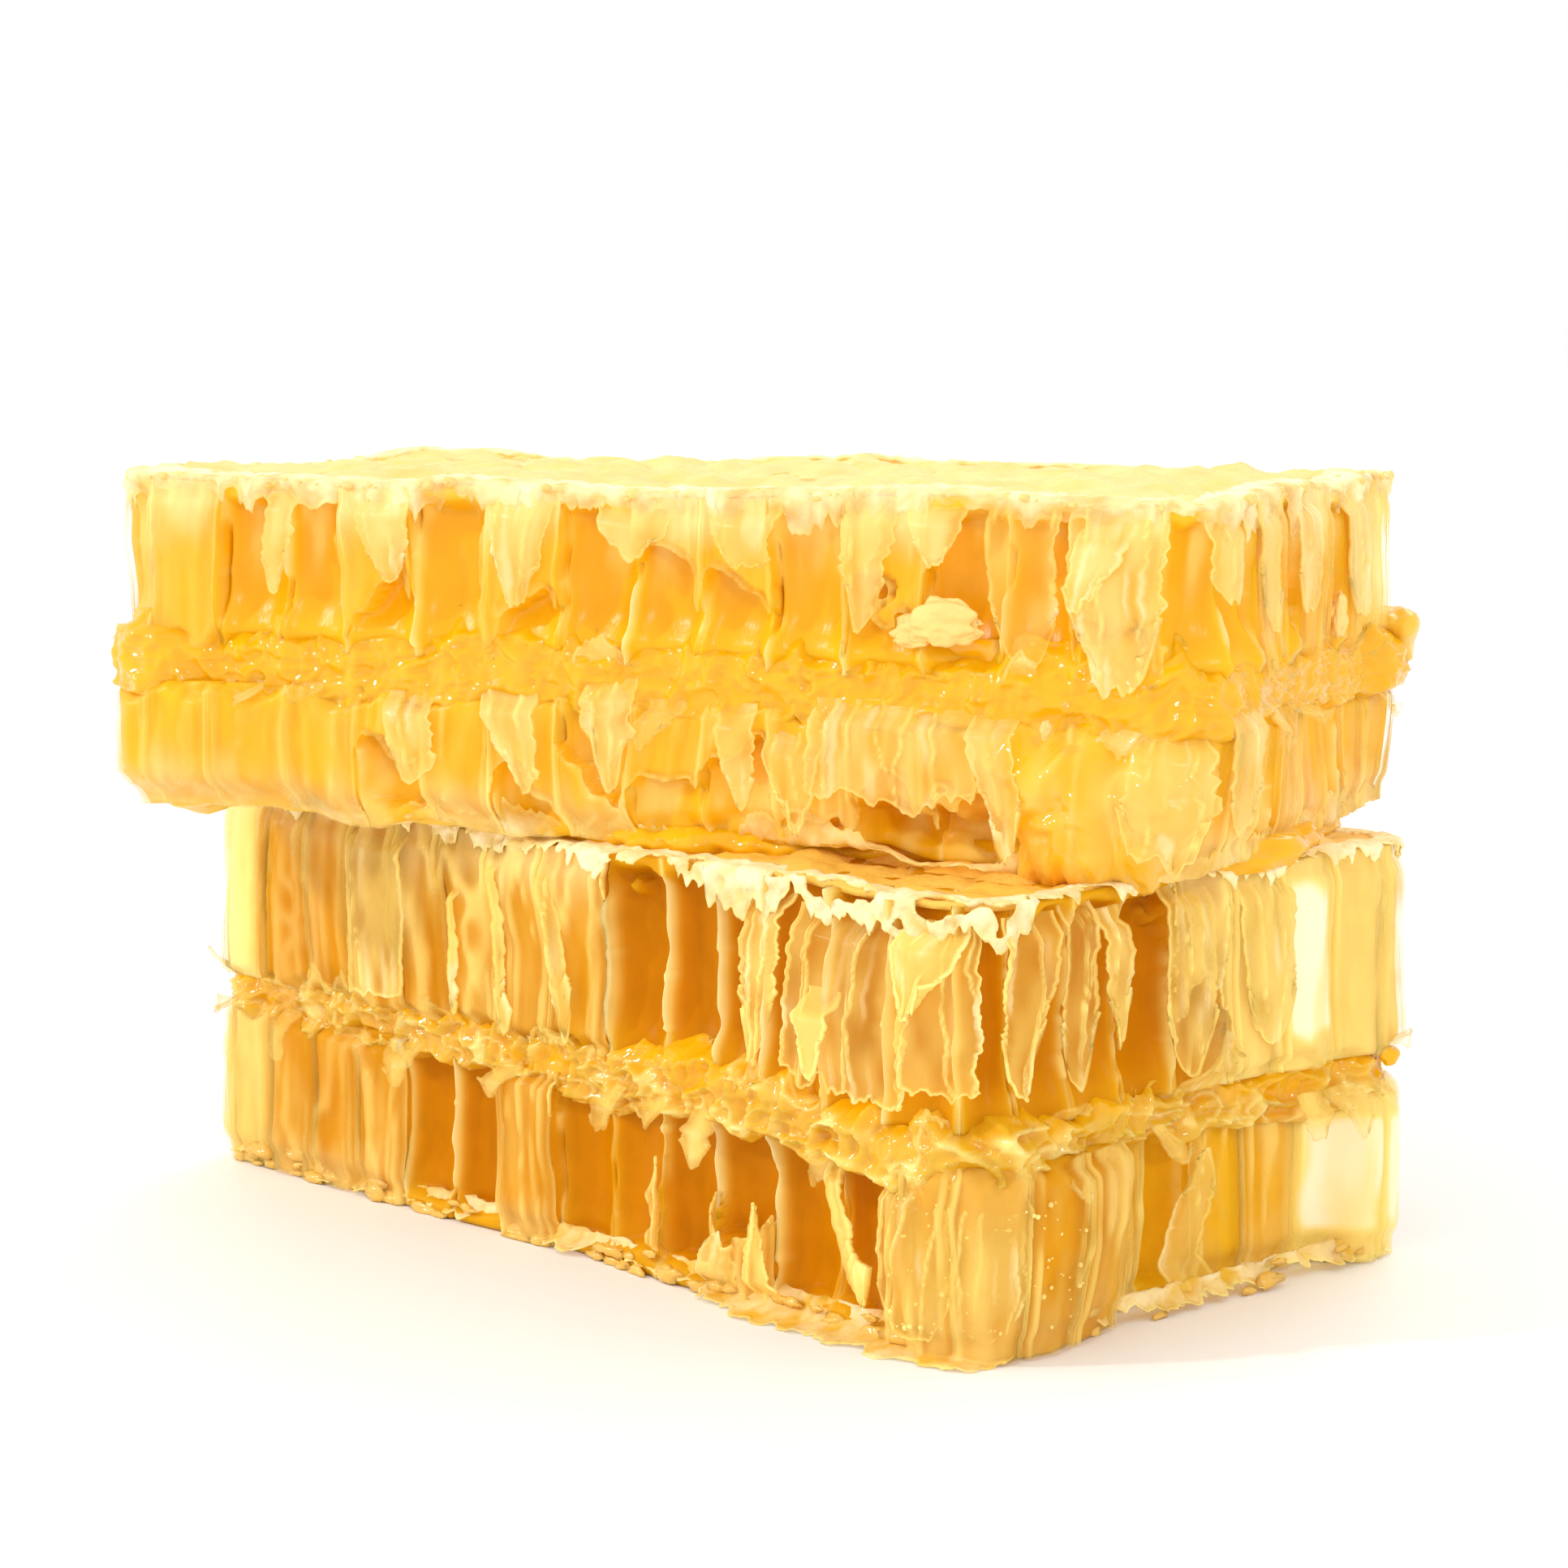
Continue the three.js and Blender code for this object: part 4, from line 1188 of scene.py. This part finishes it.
UPPER_SHEETS = [
    dict(left=18.8, right=22.6, top=21.4, bottom=15.3, lean=1.0, taper=1.6, out=(0.3, 0.4), wax=0.6,
         folds=(0.8, 2.6), fray=0.7),
    dict(left=12.6, right=14.6, top=21.4, bottom=14.2, lean=-0.6, taper=1.0, out=(0.3, 0.3), wax=0.6,
         fray=0.7),
    dict(left=28.6, right=33.0, top=21.4, bottom=14.2, taper=2.6, out=(0.4, 0.4), belly=0.5, wax=0.6,
         folds=(0.8, 3.2), fray=0.6),
    dict(left=36.0, right=41.6, top=21.4, bottom=18.2, taper=2.4, out=(0.4, 0.5), wax=0.85, fray=0.7),
    dict(left=44.2, right=48.4, top=21.4, bottom=16.6, taper=1.0, out=(0.5, 0.5), belly=0.3, wax=0.35,
         folds=(0.5, 3.6), fray=0.7),
    dict(left=52.8, right=56.2, top=21.4, bottom=13.6, lean=-0.4, taper=1.2, out=(0.5, 0.3), belly=0.4,
         wax=0.55, folds=(0.7, 2.2), fray=0.8),
    dict(left=57.0, right=60.4, top=21.4, bottom=17.0, taper=1.6, out=(0.5, 0.5), wax=0.8, fray=0.9),
    dict(left=62.0, right=66.4, top=21.4, bottom=11.8, lean=0.2, taper=0.6, out=(0.3, 0.1), belly=0.4,
         wax=0.25, folds=(0.4, 3.9), fray=0.5),
    dict(left=67.0, right=73.4, top=21.4, bottom=11.0, taper=1.0, out=(0.5, 0.5), belly=0.5, wax=0.55,
         folds=(1.0, 2.8, 4.9), fray=0.9),
    dict(left=68.0, right=71.4, top=20.6, bottom=15.6, lean=-1.4, taper=1.6, out=(0.9, 1.2), wax=0.75,
         folds=(1.0,), fray=0.7, curl=0.4),
    dict(left=35.0, right=38.6, top=10.2, bottom=3.4, lean=0.6, taper=1.4, out=(0.7, 1.1), wax=0.6,
         fray=1.0, folds=(1.2, 2.6), tongue=0.5),
    dict(left=27.6, right=31.4, top=9.2, bottom=3.2, lean=2.0, taper=1.6, out=(0.7, 1.3), wax=0.75,
         folds=(0.8, 2.4), fray=0.8),
    dict(left=21.0, right=24.2, top=8.8, bottom=3.0, lean=0.8, out=(0.6, 1.0), wax=0.6, folds=(1.0,),
         fray=0.7),
    dict(left=44.2, right=46.8, top=9.0, bottom=2.4, lean=1.0, taper=1.2, out=(0.6, 1.1), wax=0.55,
         fray=0.7),
    dict(left=47.6, right=51.6, top=7.4, bottom=0.8, lean=0.8, taper=3.0, out=(0.7, 1.5), wax=0.35,
         folds=(0.7, 2.0), fray=0.5, curl=0.4),
    dict(left=50.8, right=61.4, top=9.6, bottom=3.4, out=(0.5, 1.2), belly=0.4, wax=0.5, tongue=0.0,
         folds=(1.2, 2.6, 4.6, 6.4, 8.2), fray=0.9, step=0.16),
    dict(left=61.2, right=64.2, top=9.4, bottom=0.6, lean=1.8, taper=1.4, out=(1.6, 2.6), wax=0.5,
         fray=0.9),
    dict(left=71.6, right=76.4, top=8.6, bottom=0.4, lean=-0.8, taper=1.0, out=(1.8, 2.9), belly=0.5,
         wax=0.4, folds=(1.0, 2.6, 3.6), fray=1.1, crumple=0.25),
    dict(left=76.5, right=80.5, top=21.4, bottom=15.6, out=(0.4, 0.4), wax=0.6, folds=(1.2,),
         fray=0.7),
    dict(left=84.5, right=88.0, top=21.4, bottom=13.4, out=(0.4, 0.4), wax=0.6, folds=(1.8,),
         fray=0.7),
    dict(left=92.0, right=96.4, top=21.4, bottom=14.4, out=(0.4, 0.4), wax=0.7, folds=(1.0, 3.0),
         fray=0.7),
    dict(left=103.0, right=108.0, top=21.4, bottom=12.8, out=(0.4, 0.4), wax=0.75, folds=(1.0, 3.0),
         fray=0.7),
    dict(left=78.0, right=82.4, top=10.0, bottom=2.0, out=(0.5, 0.7), wax=0.5, folds=(1.8,), fray=0.7),
]


def hanging_walls(slab, name, skipped):
    """A torn sheet for each cell that keeps only its upper or its lower wall, cut at a random length.
    The cells of the skipped stretch have sheets of their own."""
    layer = LAYERS[name]
    low, high = slab.span(name.split("_", 1)[1])
    made = []
    for n, (kind, left, right) in enumerate(zip(layer["cells"], slab.walls, slab.wall_ends)):
        if kind not in "TB" or skipped[0] < 0.5 * (left + right) < skipped[1]:
            continue
        length = (high - low) * (0.35 + 0.4 * float(chance(n, layer["seed"] + 60)))
        top, bottom = (high + 0.1, high - length) if kind == "T" else (low - 0.1, low + length)
        made.append(sheet(
            slab, float(left) + 0.2, float(right) - 0.2, top, bottom,
            taper=2.4 * float(chance(n, layer["seed"] + 61)), out=(0.3, 0.3), fray=0.8, folds=(0.9, 3.4),
            wax=0.3 + 0.5 * float(chance(n, layer["seed"] + 62)),
        ))
    return made


def midrib_flakes(slab, count, seed):
    """Small torn flakes that hang from a midrib or stand on it, at random places round the slab."""
    low, high = slab.span("midrib")
    a, b, c, d, e = (chance(np.arange(count), seed + n) for n in range(5))
    made = []
    for n in range(count):
        left = (n + a[n]) * ROUND / count
        reach = 1.4 + 2.2 * c[n]
        top, bottom = (low + 0.8, low + 0.8 - reach) if d[n] < 0.6 else (high - 0.6, high - 0.6 + reach)
        made.append(sheet(
            slab, left, left + 1.2 + 2.4 * b[n], top, bottom, lean=2.0 * e[n] - 1.0, taper=1.2 * b[n],
            out=(0.5, 0.5 + 0.8 * e[n]), fray=1.0, crumple=0.35, curl=0.3, wax=0.4 + 0.5 * a[n],
            step=0.19, crisp=0.35,
        ))
    return made


# For each slab: its own sheets, the stretch where no others hang, the strength of their pale lines, and
# the number and the seed of its flakes.
TORN_WALLS = {
    "lower": (LOWER_SHEETS, (46, 80), 1.0, 48, 401),
    "upper": (UPPER_SHEETS, (10, 77), 0.75, 18, 431),
}


class HONEYCOMB_OT_torn_walls(bpy.types.Operator):
    """Torn sheets of wall wax that hang from the cappings and stand on the midribs"""

    bl_idname = "honeycomb.torn_walls"
    bl_label = "Torn walls"

    def execute(self, context):
        film = finish("cell_wall_film")
        for slab in make_slabs():
            sheets, skipped, crisp, flakes, seed = TORN_WALLS[slab.name]
            forms = [sheet(slab, crisp=crisp, **row) for row in sheets]
            put(f"{slab.name}_torn_walls", join(forms), film)
            forms = [
                form for layer in ("bottom_cells", "top_cells")
                for form in hanging_walls(slab, f"{slab.name}_{layer}", skipped)
            ]
            put(f"{slab.name}_hanging_walls", join(forms), film)
            forms = midrib_flakes(slab, flakes, seed)
            put(f"{slab.name}_midrib_flakes", join(forms), film)
        return {"FINISHED"}


def honey_between(lower, upper):
    """Honey that glues the slabs together: a flat body whose outline is the smaller of the two slabs'
    outlines in each direction, drawn in a little, with a bulging edge, a lobe at the right and a dent
    beside it. A slab's outline seen from its middle is
    1 / max(|cos| / half length, |sin| / half width)."""
    rows, columns = GLUE_GRID
    theta = np.arange(columns) / columns * 2.0 * math.pi
    theta, t = np.meshgrid(theta, np.linspace(0, 1, rows))
    radius = np.full(theta.shape, 99.0)
    for slab in (lower, upper):
        turned = theta - slab.turn
        reach = 1.0 / np.maximum(
            np.abs(np.cos(turned)) / (SLAB_LENGTH / 2), np.abs(np.sin(turned)) / (SLAB_WIDTH / 2)
        )
        radius = np.minimum(radius, reach + slab.shift * np.sin(theta))
    points = np.stack([30 * np.cos(theta), 30 * np.sin(theta), 3 * t], -1)
    radius = radius - 1.7 + 0.9 * np.sin(math.pi * t) + 1.2 * rough(points, (3.0, 3.0, 2.0), 203)
    toward = np.mod(theta + math.pi, 2.0 * math.pi) - math.pi
    radius = radius + 2.0 * bell(toward - 0.15, 0.3) - 3.0 * bell(toward + 0.4, 0.2)
    low = lower.base + lower.span("top_capping")[1] - 0.7
    high = upper.base + upper.span("bottom_capping")[0] + 1.0
    z = low + (high - low) * t
    co = np.stack([radius * np.cos(theta), radius * np.sin(theta), z], -1) * MM
    tint = mix(colours().upper_deep, colours().upper_honey, 0.5 + noise(points, 4.0, 205))
    return closed_rings(co, tint, np.zeros(theta.shape))


def pouch(slab):
    """The torn, swollen pouch of wax and honey that hangs at the upper slab's near corner. Its body m is
    (1 - |u|^4), with u the share of its half width, which narrows downwards, times an S-curve up from
    its lower edge; that edge is a shallow bowl with small lobes beside it. It stands out by 3.2 m^0.6,
    and is cut off where m ends. Upwards it sinks into the midrib."""
    rows, columns = POUCH_GRID
    s, z = np.meshgrid(np.linspace(56.5, 80.5, columns), np.linspace(-3.4, 13.4, rows))
    points = slab.side(s, 0.0, z) / MM
    share = smooth(4.5, 10.5, z)
    left, right = 64.2 - 0.073 * np.maximum(z, 0.0) ** 2, 77.0 + 0.2 * z
    u = (2.0 * s - left - right) / (right - left) + 0.12 * rough(points, 1.8, 63)
    lobes = np.abs(np.sin((s - 71.6) * math.pi / 2.0)) * smooth(73.0, 75.0, s) * smooth(78.5, 77.0, s)
    bottom = -2.2 + 0.085 * (s - 68.0) ** 2 - 1.5 * lobes + 0.4 * frayed(s, 12, 61)
    bent = points + 0.8 * np.stack([noise(points, 2.1, seed) for seed in (71, 72, 73)], -1)
    body = (1.0 - np.abs(u) ** 4) * smooth(0.0, 3.0, z - bottom)
    creases = (1.0 - np.abs(noise(bent, (1.6, 1.6, 3.2), 65))) ** 8
    out = -0.9 + 3.2 * np.clip(body, 0.0, 1.0) ** 0.6 - 3.6 * share
    out += 0.9 * rough(bent, 2.6, 67) + 0.15 * creases - 0.5 * bell(s - 70.6, 0.8)
    pale = smooth(-0.3, 0.5, rough(bent, (2.4, 2.4, 3.2), 69) + 0.6 * smooth(70.0, 74.0, s) - 0.8 * share)
    tint = mix(colours().pool, colours().veil, 0.15 * pale)
    tint = mix(tint, colours().line, 0.25 * creases)
    co, quads = trim(slab.side(s, out, z), 0.03 - body, False)
    return thicken(Form(co, quads, tint, 0.3 * pale + 0.3 * creases), POUCH_THICKNESS)


UPPER_DROPS = np.array([  # place round the slab, out, height, half sizes along, out and up
    (LEFT + 37.4, 0.4, 10.2, 2.6, 1.5, 1.7),
    (LEFT + 33.0, 0.3, 9.4, 3.4, 1.3, 1.2),
    (RIGHT + 38.0, 0.5, 11.0, 3.0, 1.5, 1.8),
    (RIGHT + 35.0, 0.2, 10.4, 2.4, 1.1, 1.2),
])


class HONEYCOMB_OT_honey(bpy.types.Operator):
    """Honey between the slabs, the swollen pouch, and the drops at the ends of the midribs"""

    bl_idname = "honeycomb.honey"
    bl_label = "Honey"

    def execute(self, context):
        clear = finish("clear_honey")
        lower, upper = make_slabs()
        put("honey_between_slabs", honey_between(lower, upper), clear)
        put("swollen_pouch", pouch(upper), finish("pouch_skin"))
        bright = np.array(colours().pool) * 0.8 + np.array(colours().line) * 0.2
        low_drop, low_halves = [(RIGHT + 38.4, 0.2, 13.2)], [(1.5, 0.6, 0.6)]
        drops = [
            blobs(upper, UPPER_DROPS[:, :3], UPPER_DROPS[:, 3:], 3, uneven=0.7, rings=22, tone=bright),
            blobs(lower, low_drop, low_halves, 14, uneven=0.4, rings=20, tone=colours().pool),
        ]
        put("honey_drops", join(drops), clear)
        return {"FINISHED"}


CRUMBS = np.array([  # place round the upper slab, out, height, half sizes along, out and up
    (59.4, 0.4, 14.4, 3.2, 0.8, 1.3),
    (57.2, 0.3, 13.3, 1.2, 0.5, 0.6),
    (66.4, 1.7, 8.6, 0.35, 0.25, 0.6),
    (RIGHT + 25.0, 0.2, 13.6, 1.0, 0.6, 1.5),
])


class HONEYCOMB_OT_crumbs(bpy.types.Operator):
    """Crumbs of white wax, lumps at the foot, and the bubbles under the whole cells near the corner"""

    bl_idname = "honeycomb.crumbs"
    bl_label = "Crumbs and bubbles"

    def execute(self, context):
        lower, upper = make_slabs()
        pale = mix(colours().crumb, colours().upper_honey, 0.2)
        large = blobs(
            upper, CRUMBS[:, :3], CRUMBS[:, 3:], 31, uneven=0.6, rings=32, tone=pale, crags=0.16, wax=0.7,
        )
        a, b, c, d = (chance(np.arange(RIM_CRUMBS), seed) for seed in (311, 312, 313, 314))
        top = upper.span("top_capping")[1] - 0.15 - 1.4 * np.maximum(0.0, 0.25 - b) * d
        places = np.stack([a * ROUND, 0.35 - 1.6 * b, top], -1)
        half = 0.1 + 0.45 * c ** 3
        halves = np.stack([half, 0.7 * half, 0.7 * half], -1)
        small = blobs(upper, places, halves, 32, uneven=0.5, rings=4, tone=pale, wax=1.0)
        put("wax_crumbs", join([large, small]), finish("crumb_wax"))

        a, b, c, d = (chance(np.arange(FOOT_LUMPS), seed) for seed in (321, 322, 323, 324))
        places = np.stack([a * ROUND, -0.1 + 0.4 * d, 0.2 + 1.4 * b ** 2], -1)
        half = 0.35 + 0.6 * c ** 2
        halves = np.stack([1.9 * half, 0.6 * half, 0.7 * half], -1)
        tone = mix(colours().lower_honey, colours().line, 0.3)
        lumps = blobs(lower, places, halves, 34, uneven=0.9, rings=6, tone=tone, crags=0.25, wax=0.5)
        put("foot_lumps", lumps, finish("pouch_skin"))

        a, b, c = (chance(np.arange(BUBBLES), seed) for seed in (301, 302, 303))
        places = np.stack([70.5 + 13.0 * a, 1.5 - 0.3 * b, 1.8 + 8.0 * b], -1)
        half = 0.07 + 0.12 * c ** 3
        halves = np.stack([half] * 3, -1)
        bubbles = blobs(lower, places, halves, 33, uneven=0.0, rings=5, tone=colours().line)
        put("bubbles", bubbles, finish("bubble_skin"))
        return {"FINISHED"}


class HONEYCOMB_OT_stage(bpy.types.Operator):
    """Floor, light and camera"""

    bl_idname = "honeycomb.stage"
    bl_label = "Stage"

    def execute(self, context):
        scene = context.scene
        scene.view_settings.view_transform = "Standard"
        mesh = bpy.data.meshes.new("floor")
        half = FLOOR_HALF
        corners = [(-half, -half, 0), (half, -half, 0), (half, half, 0), (-half, half, 0)]
        mesh.from_pydata(corners, [], [(0, 1, 2, 3)])
        material = bpy.data.materials.new("floor_white")
        material.use_nodes = True
        shader = material.node_tree.nodes["Principled BSDF"].inputs
        shader["Base Color"].default_value = (0.94, 0.94, 0.93, 1)
        shader["Roughness"].default_value = 0.6
        mesh.materials.append(material)
        floor = bpy.data.objects.new("floor", mesh)
        scene.collection.objects.link(floor)
        world = bpy.data.worlds.new("studio")
        world.use_nodes = True
        background = world.node_tree.nodes["Background"]
        background.inputs["Color"].default_value = (1.0, 1.0, 1.0, 1.0)
        background.inputs["Strength"].default_value = 1.0
        scene.world = world
        for name, place, width, strength in (
            ("key", (-0.5, -0.75, 0.7), 3.0, 0.85),
            ("glint", (-0.75, -0.62, 0.3), 1.0, 0.3),
            ("fill", (0.8, -0.4, 0.5), 5.0, 0.55),
            ("back", (-0.3, 0.8, 0.9), 30.0, 0.5),
        ):
            light = bpy.data.lights.new(name, "SUN")
            light.angle = math.radians(width)
            light.energy = strength
            lamp = bpy.data.objects.new(name, light)
            lamp.location = place
            lamp.rotation_mode = "QUATERNION"
            lamp.rotation_quaternion = Vector([-x for x in place]).to_track_quat("-Z", "Y")
            scene.collection.objects.link(lamp)
        scene.camera = low_camera(scene)
        return {"FINISHED"}


CAMERA_AZIMUTH = math.radians(46.89)
CAMERA_DIP = math.radians(7.22)
CAMERA_HEIGHT = 60.26 * MM
CAMERA_DISTANCE = 250.52 * MM
CAMERA_SIDESTEP = 0.43 * MM
CAMERA_LENS = 86.5


def low_camera(scene):
    """A camera low in front of the block's near corner, looking slightly down."""
    level = np.array([-math.sin(CAMERA_AZIMUTH), math.cos(CAMERA_AZIMUTH), 0.0])
    side = np.array([math.cos(CAMERA_AZIMUTH), math.sin(CAMERA_AZIMUTH), 0.0])
    up = np.array([0.0, 0.0, 1.0])
    ahead = level * math.cos(CAMERA_DIP) - up * math.sin(CAMERA_DIP)
    data = bpy.data.cameras.new("camera")
    data.sensor_width = 36.0
    data.lens = CAMERA_LENS
    data.clip_start, data.clip_end = 0.01, 20.0
    camera = bpy.data.objects.new("camera", data)
    camera.location = -level * CAMERA_DISTANCE + up * CAMERA_HEIGHT + side * CAMERA_SIDESTEP
    camera.rotation_mode = "QUATERNION"
    camera.rotation_quaternion = Vector(ahead).to_track_quat("-Z", "Y")
    scene.collection.objects.link(camera)
    return camera


OPERATORS = (
    HONEYCOMB_OT_cells, HONEYCOMB_OT_midribs, HONEYCOMB_OT_cappings, HONEYCOMB_OT_torn_walls,
    HONEYCOMB_OT_honey, HONEYCOMB_OT_crumbs, HONEYCOMB_OT_stage,
)


class HONEYCOMB_PT_pieces(bpy.types.Panel):
    """Sizes, colours and the steps that make the honeycomb"""

    bl_idname = "HONEYCOMB_PT_pieces"
    bl_label = "Honeycomb"
    bl_space_type = "VIEW_3D"
    bl_region_type = "UI"
    bl_category = "Honeycomb"

    def draw(self, context):
        for group in (context.scene.honeycomb_sizes, context.scene.honeycomb_colours):
            for name in group.bl_rna.properties.keys():
                if name not in ("rna_type", "name"):
                    self.layout.prop(group, name)
        for operator in OPERATORS:
            self.layout.operator(operator.bl_idname)


CLASSES = (HoneycombSizes, HoneycombColours, *OPERATORS, HONEYCOMB_PT_pieces)


def register():
    """Registers the classes and puts the sizes and colours on the scene."""
    for cls in CLASSES:
        bpy.utils.register_class(cls)
    bpy.types.Scene.honeycomb_sizes = PointerProperty(type=HoneycombSizes)
    bpy.types.Scene.honeycomb_colours = PointerProperty(type=HoneycombColours)


def unregister():
    """Takes back what register() did."""
    del bpy.types.Scene.honeycomb_colours
    del bpy.types.Scene.honeycomb_sizes
    for cls in reversed(CLASSES):
        bpy.utils.unregister_class(cls)


def main():
    """Makes every piece and the stage."""
    register()
    bpy.ops.honeycomb.cells()
    bpy.ops.honeycomb.midribs()
    bpy.ops.honeycomb.cappings()
    bpy.ops.honeycomb.torn_walls()
    bpy.ops.honeycomb.honey()
    bpy.ops.honeycomb.crumbs()
    bpy.ops.honeycomb.stage()


if __name__ == "__main__":
    main()
